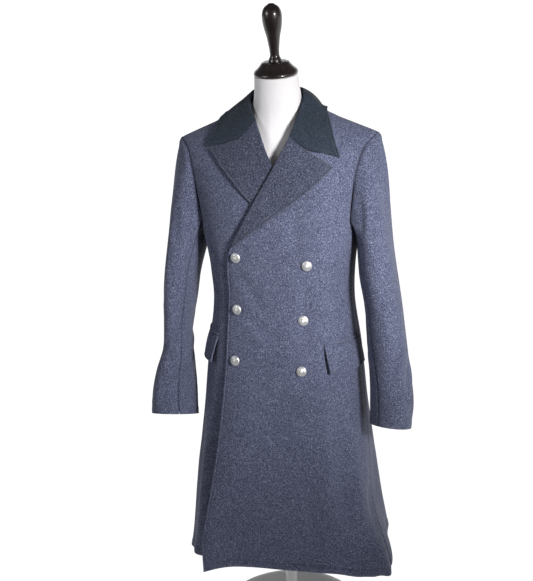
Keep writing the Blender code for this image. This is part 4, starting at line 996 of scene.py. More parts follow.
def armhole_ring(side):
    """The armhole seam from the shoulder tip, down the front, and up the back, with its normals."""
    over = side == "left"
    levels = ARM_HEIGHT + SHOULDER_LEVEL * fine_shares()
    front = SIGN[side] * armhole_turns(levels, back=False)
    back = SIGN[side] * armhole_turns(levels, back=True)
    ring_levels = np.concatenate([levels[::-1], levels[1:-1]])
    ring_turns = np.concatenate([front[::-1], back[1:-1]])
    points = body(ring_levels, ring_turns, over)
    normals = body_normal(ring_levels, ring_turns, over)
    normals[0, 1] = 0.0
    normals[0] = unit(normals[0])
    along = np.roll(points, -1, axis=0) - np.roll(points, 1, axis=0)
    return points - SIGN[side] * unit(np.cross(along, normals)) * SEAM_GAP, normals


def sleeve_rings(side, angles):
    """Rings of the sleeve below the armhole, as points round each ring."""
    table_rows = SLEEVES[side][::-1]
    known = [ring.height for ring in table_rows]
    top, cuff = known[-1], known[0]
    heights = top - stations(top - cuff, round((top - cuff) / SLEEVE_STEP), (0.0,), HEM_EDGE)
    row = Ring(*[smooth(known, [getattr(ring, name) for ring in table_rows], heights)[:, None]
                 for name in Ring._fields])
    twist = np.radians(row.twist)
    across = row.wide * np.cos(angles)
    forward = row.deep * np.sin(angles)
    x = row.x + across * np.cos(twist) + forward * np.sin(twist)
    y = row.y - forward * np.cos(twist) + across * np.sin(twist)
    drop = CUFF_DROP[side] * ease((top - heights[:, None]) / CUFF_DROP_RUN)
    z = heights[:, None] - (y - row.y) * row.rise - (x - row.x) * drop
    return np.stack([SIGN[side] * x, y, z], axis=-1)


def sleeve_grid(side):
    """The whole sleeve, cap and arm, as rings from the armhole down to the cuff."""
    start, start_normals = armhole_ring(side)
    gaps = np.linalg.norm(np.roll(start, -1, axis=0) - start, axis=1)
    run = np.concatenate([[0.0], np.cumsum(gaps)])[:-1]
    half = FINE * (len(ARM_SHARES) - 1)
    angles = np.where(np.arange(len(start)) <= half, math.pi * run / run[half],
                      math.pi + math.pi * (run - run[half]) / (gaps.sum() - run[half]))
    underarm = np.minimum(angles, 2 * math.pi - angles) / math.pi
    beside = ease((underarm - UNDERARM_FROM) / UNDERARM_FADE)[:, None]
    start = start + start_normals * SEAM_GAP * 2 * beside
    rings = sleeve_rings(side, angles)
    sideways = np.sin(angles) ** 2
    leave = np.stack([SIGN[side] * (CAP_OUT + CAP_OUT_SIDEWAYS * sideways), -CAP_FORWARD * np.sin(angles),
                      CAP_DOWN_SIDEWAYS * sideways - CAP_DOWN], axis=-1)
    reach = np.linalg.norm(rings[0] - start, axis=-1)[:, None] * CAP_FULLNESS
    leave, arrive = leave * reach, unit(rings[1] - rings[0]) * reach
    t = (np.linspace(0.0, 1.0, SLEEVE_CAP_ROWS + 1)[:-1] ** CAP_CROWDING)[:, None, None]
    cap = (1 + 2 * t) * (1 - t) ** 2 * start + t * (1 - t) ** 2 * leave \
        + t * t * (3 - 2 * t) * rings[0] - t * t * (1 - t) * arrive
    return np.concatenate([cap, rings]), start_normals, beside, angles


def sleeve(side):
    """The two-piece sleeve: a topsleeve outside and an undersleeve by the body."""
    points, start_normals, beside, angles = sleeve_grid(side)
    normals = grid_normals(points, points.mean(axis=1, keepdims=True), closed=True)
    normals[0] = unit(start_normals * (1 - beside) + normals[0] * beside)
    count = points.shape[1]
    front_seam = FRONT_SEAM * FINE
    back_seam = count - BACK_SEAM_FROM_END * FINE
    _, _, from_armhole, from_cuff = edge_distances(points)
    relief = crease_field(angles[None, :], points[..., 2], SLEEVE_CREASES[side], SLEEVE_RADIUS)
    relief = relief * settle_near(from_armhole) * ease((from_cuff - CUFF_HELD) / CUFF_FADE)
    # Fullness eased into the armhole makes the sleeve head stand up past the seam
    over_shoulder = ease((HEAD_FROM - np.minimum(angles, 2 * math.pi - angles)) / HEAD_FADE)
    relief += HEAD_RISE * bell(from_armhole - HEAD_PLACE, HEAD_WIDTH) * over_shoulder + hem_relief(from_cuff)
    relief += seam_dip(from_armhole) * (1 - beside[None, :, 0])
    relief += SWELL * wander(points, SLEEVE_SWELL_LENGTH, 21 if side == "left" else 22)
    lines = []
    for name, columns in (("topsleeve_", [*range(back_seam, count), *range(front_seam + 1)]),
                          ("undersleeve_", [*range(front_seam, back_seam + 1)])):
        base, facing = points[:, columns], normals[:, columns]
        from_first, from_last, _, _ = edge_distances(base)
        from_seam = np.minimum(from_first, from_last)
        part = relief[:, columns] + seam_dip(from_seam) + pucker(base, from_seam, 31)
        outer = base + facing * part[..., None]
        for end, next_to in ((0, 1), (-1, -2)):
            outer[:, end] += unit(base[:, next_to] - base[:, end]) * SEAM_GAP
        cuff = from_cuff[:, columns]
        # Tone: a worn cuff edge paler, and painted shade (below zero) along the seams
        tone = edge_tone(cuff) - painted_seam_shade(from_seam) - painted_seam_shade(from_armhole[:, columns])
        rounded_wall(name + side, outer, outer - facing * CLOTH, tone, WOOL)
        lines.append(line_at(outer, facing, cuff, HEM_STITCH, by_column=True))
    return lines


def path_at(points, shares):
    """Points along a smooth outline at shares of its length."""
    points = np.array(points)
    run = run_along(points)
    return [smooth(run, values, shares * run[-1]) for values in points.T]


def lapel(side):
    """A lapel, rolled over from its front along the roll line, its top edge cut to the gorge and notch."""
    over = side == "left"
    roll, edge = (OVER_ROLL, OVER_LAPEL_EDGE) if over else (UNDER_ROLL, UNDER_LAPEL_EDGE)
    gorge = OVER_GORGE if over else UNDER_GORGE
    roll = [point for point in roll if point.height < gorge[0].height] + [gorge[0]]
    up_lapel = stations(LAPEL_LENGTH, LAPEL_ROWS, (0.0,), FREE_EDGE) / LAPEL_LENGTH
    up_lapel = LAPEL_START + (1 - LAPEL_START) * up_lapel
    roll_x, roll_height = path_at(roll, up_lapel)
    edge_x, edge_height = path_at(edge, up_lapel)
    notch = abs(gorge[1].x - gorge[0].x) / abs(edge[-1].x - gorge[0].x)
    to_edge = stations((1 - notch) * LAPEL_BREADTH, 15, (0.0,), FREE_EDGE) / LAPEL_BREADTH + notch
    share = np.concatenate([np.linspace(0.0, notch, 10), to_edge[1:]])
    x = roll_x[:, None] * (1 - share) + edge_x[:, None] * share
    height = roll_height[:, None] * (1 - share) + edge_height[:, None] * share
    notch_drop = gorge[1].height - (gorge[0].height * (1 - notch) + edge[-1].height * notch)
    bend = np.minimum(share / notch, (1 - share) / (1 - notch))
    up = up_lapel[:, None]
    height = height + notch_drop * bend * up ** 4 - SEAM_GAP * up ** 4
    points, normals = front_points(x, height, over)
    offset = lap_offset(points) if over else 0.0
    lift = LAPEL_LIFT * share ** 2 * ease((up - LAPEL_START) * 3)
    if not over:
        lift = lift * ease(-x / UNDER_LAPEL_FADE)
    _, from_edge, _, from_top = edge_distances(points)
    free = ease((share - notch) / NOTCH_FADE)
    # The gorge side of the top is a seam, and from the notch out it is a free edge
    relief = worked_edge(from_edge, EDGE_STITCH) + worked_edge(from_top, EDGE_STITCH) * free
    relief += seam_dip(from_top) * (1 - free)
    relief += LAPEL_SWELL * np.sin(math.pi * share) * ease(up * 2)
    relief += SWELL * wander(points, LAPEL_SWELL_LENGTH, 41)
    if over:
        relief = np.maximum(relief, -lift - LAYER_GAP / 2)
    else:
        relief = relief * (0.3 + 0.7 * ease(-x / UNDER_FADE))
    inner = points + normals * (offset + LAYER_GAP + lift + relief)[..., None]
    outer = inner + normals * CLOTH
    # Tone: worn free edges paler, and painted shade (below zero) along the gorge seam
    tone = edge_tone(from_edge) + edge_tone(from_top) * free - painted_seam_shade(from_top) * (1 - free)
    # Round the roll: from the lapel's face over to the back of the front
    reach = 0.35 + 0.65 * ease(np.linspace(0, 12, len(up_lapel)))[:, None]
    rolled = roll_over(outer, inner, tone, normals, ROLL_RADIUS, CLOTH, 178, reach)
    # The lapels take the darker copy of the wool, as painted shade
    rounded_wall("lapel_" + side, *rolled, SHADED_LAPEL_WOOL)
    outer = rolled[0][:, -len(share):]
    out = share > notch + 0.04
    return [line_at(outer, normals, from_edge, EDGE_STITCH, by_column=False),
            line_at(outer[:, out], normals[:, out], from_top[:, out], EDGE_STITCH, by_column=True)]


def collar():
    """The felt fall, rolled over from the stand and lying down to its outer edge."""
    places = stations(COLLAR_LENGTH, COLLAR_COLUMNS, FREE_EDGE, FREE_EDGE) / COLLAR_LENGTH
    roll, mid, edge = (line[:, None] for line in collar_lines(places))
    to_edge = stations((1 - GORGE_SHARE) * COLLAR_BREADTH, 14, (0.0,), COLLAR_EDGE) / COLLAR_BREADTH
    shares = np.concatenate([np.linspace(0.0, GORGE_SHARE, 12), to_edge[1:] + GORGE_SHARE])
    blended = ease(np.minimum(places, 1 - places) / COLLAR_END_SHARE)[:, None, None]
    s = shares[None, :, None]
    curved = (1 - s) * (1 - 2 * s) * roll + 4 * s * (1 - s) * mid + s * (2 * s - 1) * edge
    left_end, left_normals = collar_end("left", shares)
    right_end, right_normals = collar_end("right", shares)
    bent = np.where(places[:, None, None] < 0.5, left_end, right_end)
    points = bent * (1 - blended) + curved * blended
    lift = LAYER_GAP + COLLAR_LIFT * blended[..., 0] + lap_offset(points) * (points[..., 0] > 0)
    inner = clear_of_shoulders(points, lift)
    inner[0], inner[-1] = left_end, right_end
    normals = grid_normals(inner, NECK_INSIDE)
    normals[0], normals[-1] = left_normals, right_normals
    _, from_edge, from_right, from_left = edge_distances(inner)
    from_end = np.minimum(from_right, from_left)
    tip = ease((shares - GORGE_SHARE) / NOTCH_FADE)
    relief = worked_edge(from_edge, COLLAR_STITCH) + worked_edge(from_end, COLLAR_STITCH) * tip
    relief += seam_dip(from_end) * (1 - tip) + SWELL * wander(inner, COLLAR_SWELL_LENGTH, 51)
    inner = inner + normals * np.maximum(relief, -COLLAR_SINK)[..., None]
    outer = inner + normals * FELT
    # Tone: worn free edges paler, and painted shade (below zero) along the end seams
    tone = edge_tone(from_edge) + edge_tone(from_end) * tip - painted_seam_shade(from_end) * (1 - tip)
    rolled = roll_over(outer, inner, tone, normals, COLLAR_ROLL, FELT, 180)
    foot = rolled[0][:, 0].copy()
    rounded_wall("collar", *rolled, FELT_CLOTH)
    lines = [line_at(outer, normals, from_edge, COLLAR_STITCH, by_column=False)]
    keep = shares > GORGE_SHARE + 0.03
    half = len(places) // 2
    for rows, distance in ((slice(None, half), from_right), (slice(half, None), from_left)):
        lines.append(line_at(outer[rows][:, keep], normals[rows][:, keep], distance[rows][:, keep],
                             COLLAR_STITCH, by_column=True))
    return lines, places, foot


def roll_over(outer, inner, tone, normals, radius, thick, last_angle, reach=1.0):
    """A cloth with a half round added, from its face's first column over to its back."""
    ahead = outer[:, 0] - outer[:, 1]
    ahead = unit(ahead - normals[:, 0] * np.sum(ahead * normals[:, 0], axis=-1, keepdims=True))
    centre = outer[:, 0] - normals[:, 0] * radius
    arms = np.stack([normals[:, 0] * math.cos(angle) + ahead * math.sin(angle) * reach
                     for angle in np.radians((last_angle, 150, 120, 90, 60, 30))], axis=1)
    outer = np.concatenate([centre[:, None] + arms * radius, outer], axis=1)
    inner = np.concatenate([centre[:, None] + arms * (radius - thick), inner], axis=1)
    return outer, inner, np.pad(tone, ((0, 0), (arms.shape[1], 0)))


def collar_stand(places, top):
    """The stand, from the collar's roll down inside the neckline."""
    keep = (places > STAND_START) & (places < STAND_END)
    places, top = places[keep], top[keep]
    roll, _, _ = collar_lines(places)
    angle = np.arctan2(roll[:, 0], roll[:, 1] - STAND_CENTRE_Y)
    neckline = np.stack([STAND_FOOT_HALF_WIDTH * np.sin(angle),
                         STAND_CENTRE_Y + STAND_FOOT_DEPTH * np.cos(angle), roll[:, 2]], axis=-1)
    spread = ease(np.minimum(places - STAND_START, STAND_END - places) / STAND_END_FADE)[:, None]
    spread = STAND_END_SPREAD + (1 - STAND_END_SPREAD) * spread
    foot = roll * (1 - spread) + neckline * spread
    foot[:, 2] = np.minimum(STAND_FOOT_HEIGHT, roll[:, 2] - STAND_LEAST_DEPTH)
    shares = np.linspace(0.0, 1.0, 10)[None, :, None]
    inner = (top + unit(foot - top) * SEAM_GAP)[:, None] * (1 - shares) + foot[:, None] * shares
    outer = inner + grid_normals(inner, NECK_INSIDE) * CLOTH
    rounded_wall("collar_stand", outer, inner, np.zeros(inner.shape[:2]), FELT_CLOTH)


def flap_frame(flap, down_places, along_places):
    """Points and normals on the front under a flap or its welt, rows from the top down."""
    over, sign = flap.side == "left", SIGN[flap.side]
    levels, turns = [], []
    for down in down_places:
        height = flap.height - down
        x = flap.x + sign * flap.slant * down / flap.drop
        level = level_of(x, height)
        first = turn_of(x, level)
        trace = np.linspace(first, first + sign * math.pi / 2, TRACE_POINTS)
        turns.append(np.interp(along_places, run_along(body(level, trace, over)), trace))
        levels.append(height + flap.tilt * along_places / flap.length)
    levels, turns = np.array(levels), np.array(turns)
    points = body(levels, turns, over)
    return points, body_normal(levels, turns, over), (lap_offset(points) if over else 0.0) + SEAM_GAP


def pocket(flap):
    """The flap and the narrow ridge over it where it is sewn into the front."""
    top = FLAP_TOP_SHARE * flap.drop
    downs = top + stations(flap.drop - top, 12, (0.0,), FREE_EDGE)
    alongs = stations(flap.length, 24, FREE_EDGE, FREE_EDGE)
    points, normals, offset = flap_frame(flap, downs, alongs)
    lift = FLAP_LIFT * np.sin(downs / flap.drop * math.pi / 2)[:, None]
    lift = lift * (1 + (FLAP_BACK_LIFT - 1) * (alongs / flap.length))
    from_front, from_back, _, from_foot = edge_distances(points)
    edges = (from_foot, from_front, from_back)
    relief = sum(worked_edge(distance, EDGE_STITCH) for distance in edges)
    relief += SWELL * wander(points, FLAP_SWELL_LENGTH, 61) * ease(downs / 0.02)[:, None]
    inner = points + normals * np.maximum(offset + lift + relief, offset)[..., None]
    outer = inner + normals * CLOTH
    rounded_wall("flap_" + flap.side, outer, inner, edge_tone(np.minimum.reduce(edges)), WOOL)
    welt(flap, alongs)
    return [line_at(outer, normals, distance, EDGE_STITCH, by_column=distance is from_foot)
            for distance in edges]


def welt(flap, alongs):
    """The ridge, a half-round roll of cloth along the flap's seam."""
    points, normals, _ = flap_frame(flap, np.array([-SEAM_GAP]), alongs)
    rise = np.linspace(0.0, 1.0, 9)[:, None, None]
    points = points + np.array([0.0, 0.0, WELT_HEIGHT]) * rise
    offset = (lap_offset(points) if flap.side == "left" else np.zeros(points.shape[:2])) + SEAM_GAP
    taper = ease(np.minimum(alongs, flap.length - alongs) / WELT_TAPER)[None, :, None]
    bulge = WELT_THICK * (0.25 + 0.75 * np.sqrt(np.sin(math.pi * (0.06 + 0.88 * rise)))) * (0.3 + 0.7 * taper)
    inner = points + normals * offset[..., None]
    outer = inner + normals * bulge
    rounded_wall("welt_" + flap.side, outer, inner, np.full(outer.shape[:2], 0.3), WOOL)


def closed_rings(name, node_name, rings, finish, tone=None):
    """A skin through closed rings of points, with both ends closed."""
    rows, count = rings.shape[:2]
    index = np.arange(rows * count).reshape(rows, count)
    low, high = index[:-1], index[1:]
    faces = np.stack([low, np.roll(low, -1, axis=1), np.roll(high, -1, axis=1), high], axis=-1)
    faces = faces.reshape(-1, 4).tolist() + [index[0, ::-1].tolist(), index[-1].tolist()]
    add_piece(name, rings.reshape(-1, 3), faces, finish, tone, node_name)


def form_inside(points, inset):
    """Below zero inside the dress form's body, which lies an inset within the coat."""
    x, y, height = points[..., 0], points[..., 1], points[..., 2]
    near_neck = 1 - ease((np.abs(x) - NECK_BASE_X) / NECK_BASE_FADE)
    x = x - centre_x(height)
    height = height + RIDGE_CLEARANCE + NECK_BASE_DROP * near_neck
    share = (height - ARM_HEIGHT) / (shoulder_height(x) - ARM_HEIGHT)
    half_width, front, back, side_y, squareness = ring_sizes(np.minimum(height, ARM_HEIGHT))
    half_width = half_width + FORM_SPREAD * np.clip(share, 0, None) ** SPREAD_RISE - FORM_CLEARANCE
    room = np.maximum(1 - (np.abs(x) / half_width) ** squareness, 1e-5)
    depth = np.where(y < side_y, front + side_y, back - side_y) - inset - CLOTH
    size = np.abs((y - side_y) / (depth * room ** (1 / squareness))) ** SHOULDER_EDGE
    size = np.where(np.abs(x) < half_width, size, 9.0)
    return size + np.clip(share, 0, None) ** SHOULDER_ROUND - 1


def neck_centre(height):
    """The middle of the neck at a height: it leans forward."""
    drop = NECK_CENTRE_HEIGHT - height
    return np.array([NECK_CENTRE_X, min(NECK_CENTRE_Y + drop * math.tan(NECK_LEAN), 0.0), height])


def form():
    """The limbless torso and neck, one smooth skin of knitted cloth over a hard core."""
    angles = around(FORM_SEGMENTS)
    arms = np.stack([np.sin(angles), -np.cos(angles), np.zeros_like(angles)], axis=-1)
    lower = np.linspace(FORM_FOOT, FORM_MIDDLE, FORM_LOWER_ROWS)
    upper = np.linspace(FORM_MIDDLE, NECK_TOP, FORM_UPPER_ROWS)[1:]
    rings = []
    for height in np.concatenate([lower, upper]):
        axis_point = np.array([0.0, 0.0, height])
        deep = 1 - ease((height - FORM_CHEST) / FORM_CHEST_FADE)
        inset = SHOULDER_CLEARANCE + (FORM_CLEARANCE - SHOULDER_CLEARANCE) * deep
        near = np.full(FORM_SEGMENTS, FORM_LEAST)
        far = np.full(FORM_SEGMENTS, FORM_MOST)
        for _ in range(FORM_SEARCH_STEPS):
            middle = (near + far) / 2
            inside = form_inside(axis_point + arms * middle[:, None], inset) < 0
            near = np.where(inside, middle, near)
            far = np.where(inside, far, middle)
        neck_radius = smooth([row.height for row in NECK], [row.radius for row in NECK], height)
        centre = neck_centre(height) - axis_point
        ahead = arms @ centre
        neck = ahead + np.sqrt(np.maximum(neck_radius ** 2 - centre @ centre + ahead ** 2, 0.0))
        radius = (near ** FORM_BLEND + np.maximum(neck, 0.0) ** FORM_BLEND) ** (1 / FORM_BLEND)
        ring = axis_point + arms * radius[:, None]
        tilt = ease((height - NECK_TILT_FROM) / (NECK_TOP - NECK_TILT_FROM))
        ring[:, 2] += tilt * (ring[:, 1] - centre[1]) * math.tan(NECK_LEAN)
        rings.append(ring)
    rings = np.array(rings)
    # Both ends are drawn in over a rounded edge
    ends = []
    for ring, way in ((rings[0], -1), (rings[-1], 1)):
        middle = ring.mean(axis=0)
        ends.append(np.array([middle + (ring - middle) * (1 - draw) + np.array([0.0, 0.0, way * rise])
                              for draw, rise in FORM_END_ROUND]))
    rings = np.concatenate([ends[0][::-1] + np.array([0.0, 0.0, FORM_END_ROUND[-1][1]]), rings[1:-1],
                            ends[1] - np.array([0.0, 0.0, FORM_END_ROUND[-1][1]])])
    closed_rings("form_cover", "form", rings, JERSEY)


def turned_rings(profile, foot, axis):
    """Rings of a solid turned about an axis that rises from its foot."""
    axis = unit(np.asarray(axis, float))
    side = unit(np.cross(axis, (0.0, 1.0, 0.0) if abs(axis[1]) < 0.9 else (1.0, 0.0, 0.0)))
    angles = around(TURNED_SEGMENTS)[:, None]
    arms = side * np.cos(angles) + np.cross(axis, side) * np.sin(angles)
    radius, height = np.array(profile).T[..., None, None]
    return np.asarray(foot) + axis * height + arms * radius


def fine_profile(profile, steps):
    """A smooth profile through a turned solid's points."""
    return np.stack(path_at(profile, np.linspace(0.0, 1.0, steps)), axis=-1)


def rounded_ends(profile, round_by):
    """A turned profile with its two end edges rounded off."""
    (foot_radius, foot_height), (head_radius, head_height) = profile[0], profile[-1]
    bend = [(1 - math.sin(a), 1 - math.cos(a)) for a in np.linspace(0.0, math.pi / 2, 6)]
    foot = [(foot_radius - round_by * draw, foot_height + round_by * rise) for draw, rise in bend]
    head = [(head_radius - round_by * rise, head_height - round_by * draw) for draw, rise in bend]
    middle = [tuple(point) for point in profile if foot_height + round_by < point[1] < head_height - round_by]
    return foot + middle + head


def button(place, front):
    """A struck metal button: a domed face with a corded rim and a pebbled field, on a shank."""
    _, point, _, _ = front.ray_cast((place.x, -1.0, place.height), (0.0, 1.0, 0.0))
    level = level_of(place.x, place.height)
    axis = body_normal(level, turn_of(place.x, level), True)
    foot = np.array(point) + axis * BUTTON_GAP
    rim = SHANK_LENGTH + BUTTON_RIM
    half_rim = BUTTON_RIM / 2
    edge = [(BUTTON_RADIUS - half_rim * (1 - math.cos(a)), rim - half_rim + half_rim * math.sin(a))
            for a in np.linspace(-math.pi / 2, 0.0, 5)]
    back = [(0.0006, 0.0), (SHANK_RADIUS, 0.0), (SHANK_RADIUS, SHANK_LENGTH),
            (BUTTON_RADIUS * BUTTON_BACK_SHARE, SHANK_LENGTH)]
    dome = [(BUTTON_RADIUS * math.cos(a), rim + BUTTON_DOME * math.sin(a))
            for a in np.radians(np.concatenate([np.linspace(0, 34, 14), np.linspace(36, 88.5, 28)]))]
    profile = back + edge + dome
    rings = turned_rings(profile, foot, axis)
    radius = np.array(profile)[:, :1]
    on_face = (np.arange(len(profile)) >= len(back) + len(edge))[:, None]
    strands = 0.55 + 0.45 * np.cos(CORD_TURNS * around(TURNED_SEGMENTS) + radius * CORD_SLANT)
    relief = CORD_RISE * bell(radius - CORD_RADIUS, CORD_WIDTH) * strands
    field = ease((CORD_RADIUS - 2 * CORD_WIDTH - radius) / 0.001)
    relief = relief + wander(rings, PEBBLE_SIZE, 71, 14) * PEBBLE_RISE * field
    relief = relief + ease((BOSS_RADIUS - radius) / BOSS_FADE) * BOSS_RISE
    for at, width, depth in BUTTON_GROOVES:
        relief = relief - bell(radius - at, width) * depth
    relief = relief * on_face
    tone = np.clip(relief / BUTTON_TONE_RISE, -1, 1)
    closed_rings(place.name + "_metal", place.name, rings + axis * relief[..., None], METAL, tone)


def headpiece():
    """The neck cap and the finial, turned on the neck's own axis."""
    axis = np.array([0.0, -math.sin(NECK_LEAN), math.cos(NECK_LEAN)])
    cap_foot = neck_centre(NECK_TOP) + axis * SEAM_GAP
    cap = rounded_ends(fine_profile(NECK_CAP_PROFILE, 60), CAP_ROUND)
    closed_rings("neck_cap_wood", "neck_cap", turned_rings(cap, cap_foot, axis), WOOD)
    finial_foot = cap_foot + axis * (NECK_CAP_PROFILE[-1].height + SEAM_GAP)
    knob = fine_profile(FINIAL_PROFILE, 90).tolist()
    top_radius, top_height = knob[-1]
    dome = [[top_radius * math.cos(a), top_height + FINIAL_TOP_RISE * math.sin(a)]
            for a in np.radians((20, 40, 60, 80))]
    closed_rings("finial_wood", "finial", turned_rings(knob + dome, finial_foot, axis), WOOD)


def stand():
    """The round base plate and the pole, with a small flange at the pole's foot."""
    up = (0.0, 0.0, 1.0)
    plate = rounded_ends([(BASE_RADIUS, 0.0), (BASE_RADIUS, BASE_HEIGHT)], BASE_BEVEL)
    plate += [(BASE_RADIUS * share, BASE_HEIGHT) for share in (0.9, 0.6, 0.3, 0.12)]
    closed_rings("base_enamel", "base", turned_rings(plate, (0.0, 0.0, 0.0), up), ENAMEL)
    foot = BASE_HEIGHT + SEAM_GAP
    length = FORM_FOOT - SEAM_GAP - foot
    heights = [height for height in (*np.linspace(0.02, length - 0.02, 12), length) if height > 0.026]
    profile = [(POLE_RADIUS + out, height) for out, height in FLANGE]
    profile += [(POLE_RADIUS, height) for height in heights]
    closed_rings("pole_enamel", "pole", turned_rings(profile, (0.0, 0.0, foot), up), ENAMEL)


def node(tree, kind, **settings):
    made = tree.nodes.new(kind)
    for name, value in settings.items():
        setattr(made, name, value)
    return made


def noise(tree, scale, detail, roughness, stretch=(1, 1, 1)):
    """A noise pattern fixed to the object's own coordinates, in cycles for each metre."""
    coordinates = node(tree, "ShaderNodeTexCoord")
    mapping = node(tree, "ShaderNodeMapping")
    mapping.inputs["Scale"].default_value = stretch
    tree.links.new(coordinates.outputs["Object"], mapping.inputs["Vector"])
    texture = node(tree, "ShaderNodeTexNoise")
    texture.inputs["Scale"].default_value = scale
    texture.inputs["Detail"].default_value = detail
    texture.inputs["Roughness"].default_value = roughness
    tree.links.new(mapping.outputs["Vector"], texture.inputs["Vector"])
    return texture.outputs["Fac"]


def ramp(tree, value, *stops):
    """Colours along a value, as (place, colour) stops."""
    made = node(tree, "ShaderNodeValToRGB")
    while len(made.color_ramp.elements) < len(stops):
        made.color_ramp.elements.new(0.5)
    for element, (place, colour) in zip(made.color_ramp.elements, stops):
        element.position = place
        element.color = (*colour, 1.0)
    tree.links.new(value, made.inputs["Fac"])
    return made.outputs["Color"]


def levels_of(tree, value, low, high, to_low=0.0, to_high=1.0):
    """A value stretched so that low becomes to_low and high becomes to_high."""
    made = node(tree, "ShaderNodeMapRange")
    for name, number in (("From Min", low), ("From Max", high), ("To Min", to_low), ("To Max", to_high)):
        made.inputs[name].default_value = number
    tree.links.new(value, made.inputs["Value"])
    return made.outputs["Result"]


def maths(tree, operation, first, second):
    made = node(tree, "ShaderNodeMath", operation=operation)
    for socket, value in zip(made.inputs, (first, second)):
        if isinstance(value, (int, float)):
            socket.default_value = value
        else:
            tree.links.new(value, socket)
    return made.outputs["Value"]


def times(tree, value, number):
    return maths(tree, "MULTIPLY", value, number)


def tone_of(tree):
    return node(tree, "ShaderNodeAttribute", attribute_name="tone").outputs["Fac"]


def blend(tree, factor, first, second, kind="MIX"):
    made = node(tree, "ShaderNodeMix", data_type="RGBA", blend_type=kind)
    sockets = [made.inputs[0], made.inputs[6], made.inputs[7]]
    for socket, value in zip(sockets, (factor, first, second)):
        if isinstance(value, (int, float)):
            socket.default_value = value
        elif isinstance(value, tuple):
            socket.default_value = (*value, 1.0)
        else:
            tree.links.new(value, socket)
    return made.outputs[2]


def bump(tree, surface, height, strength, distance):
    made = node(tree, "ShaderNodeBump")
    made.inputs["Strength"].default_value = strength
    made.inputs["Distance"].default_value = distance
    tree.links.new(height, made.inputs["Height"])
    tree.links.new(made.outputs["Normal"], surface.inputs["Normal"])


def new_finish(name, **settings):
    made = bpy.data.materials.new(name)
    made.use_nodes = True
    surface = made.node_tree.nodes["Principled BSDF"]
    for setting, value in settings.items():
        surface.inputs[setting].default_value = value
    return made, made.node_tree, surface


def cloth_finish(name, dark, middle, light, fleck, sheen, fibre_scale, cloud_amount, settings):
    """Milled wool of mixed fibres: a dense nap with darker and lighter hairs and a few pale flecks."""
    made, tree, surface = new_finish(name, **settings)
    fibres = noise(tree, fibre_scale, 4.0, 0.78)
    fine = noise(tree, fibre_scale * 3.6, 2.0, 0.65)
    both = maths(tree, "ADD", times(tree, fibres, 0.72), times(tree, fine, 0.28))
    colour = ramp(tree, both, (0.41, dark), (0.50, middle), (0.60, light))
    flecks = levels_of(tree, noise(tree, fibre_scale * 1.4, 2.0, 0.6, (1.0, 1.0, 0.6)), 0.59, 0.67)
    colour = blend(tree, times(tree, flecks, 0.8), colour, fleck)
    cloud = levels_of(tree, noise(tree, 9.0, 3.0, 0.55), 0.3, 0.7)
    shade = ramp(tree, cloud, (0.0, (1 - cloud_amount,) * 3), (1.0, (1 + cloud_amount,) * 3))
    colour = blend(tree, 1.0, colour, shade, "MULTIPLY")
    tone = tone_of(tree)
    worn = times(tree, levels_of(tree, tone, 0.0, 1.0), 0.30)
    colour = blend(tree, worn, colour, light)
    # Below zero the tone marks seams: there the colour is darkened toward the dark fibres as painted shade
    painted_shade = times(tree, levels_of(tree, times(tree, tone, -1.0), 0.0, 1.0), 0.45)
    colour = blend(tree, painted_shade, colour, dark)
    tree.links.new(colour, surface.inputs["Base Color"])
    surface.inputs["Sheen Weight"].default_value = sheen
    bump(tree, surface, both, 0.55, 0.0009)
    return made


def jersey_finish():
    """A fine white rib knit, pulled smooth over the form."""
    made, tree, surface = new_finish("jersey_knit", **{"Roughness": 0.85, "Sheen Weight": 0.12,
                                                      "Sheen Roughness": 0.5, "Specular IOR Level": 0.25})
    coordinates = node(tree, "ShaderNodeTexCoord")
    rows = node(tree, "ShaderNodeTexWave", wave_type="BANDS", bands_direction="Z")
    rows.inputs["Scale"].default_value = 210.0
    rows.inputs["Distortion"].default_value = 0.6
    rows.inputs["Detail Scale"].default_value = 3.0
    tree.links.new(coordinates.outputs["Object"], rows.inputs["Vector"])
    yarn = noise(tree, 1100.0, 2.0, 0.6)
    height = maths(tree, "ADD", times(tree, rows.outputs["Fac"], 0.6), times(tree, yarn, 0.6))
    colour = ramp(tree, yarn, (0.30, (0.66, 0.645, 0.665)), (0.60, (0.77, 0.755, 0.775)))
    tree.links.new(colour, surface.inputs["Base Color"])
    bump(tree, surface, height, 0.35, 0.0004)
    return made


def wood_finish():
    """Dark stained turned wood under clear lacquer."""
    made, tree, surface = new_finish("lacquered_wood", **{"Roughness": 0.35, "Coat Weight": 0.55,
                                                         "Coat Roughness": 0.06, "Specular IOR Level": 0.5})
    grain = noise(tree, 90.0, 5.0, 0.65, (1.0, 1.0, 0.10))
    pores = noise(tree, 520.0, 2.0, 0.5, (1.0, 1.0, 0.06))
    colour = ramp(tree, grain, (0.32, (0.007, 0.004, 0.004)), (0.55, (0.013, 0.007, 0.007)),
                  (0.72, (0.026, 0.014, 0.012)))
    dark_pores = levels_of(tree, pores, 0.60, 0.70)
    colour = blend(tree, times(tree, dark_pores, 0.5), colour, (0.008, 0.005, 0.004))
    tree.links.new(colour, surface.inputs["Base Color"])
    bump(tree, surface, pores, 0.10, 0.0002)
    return made


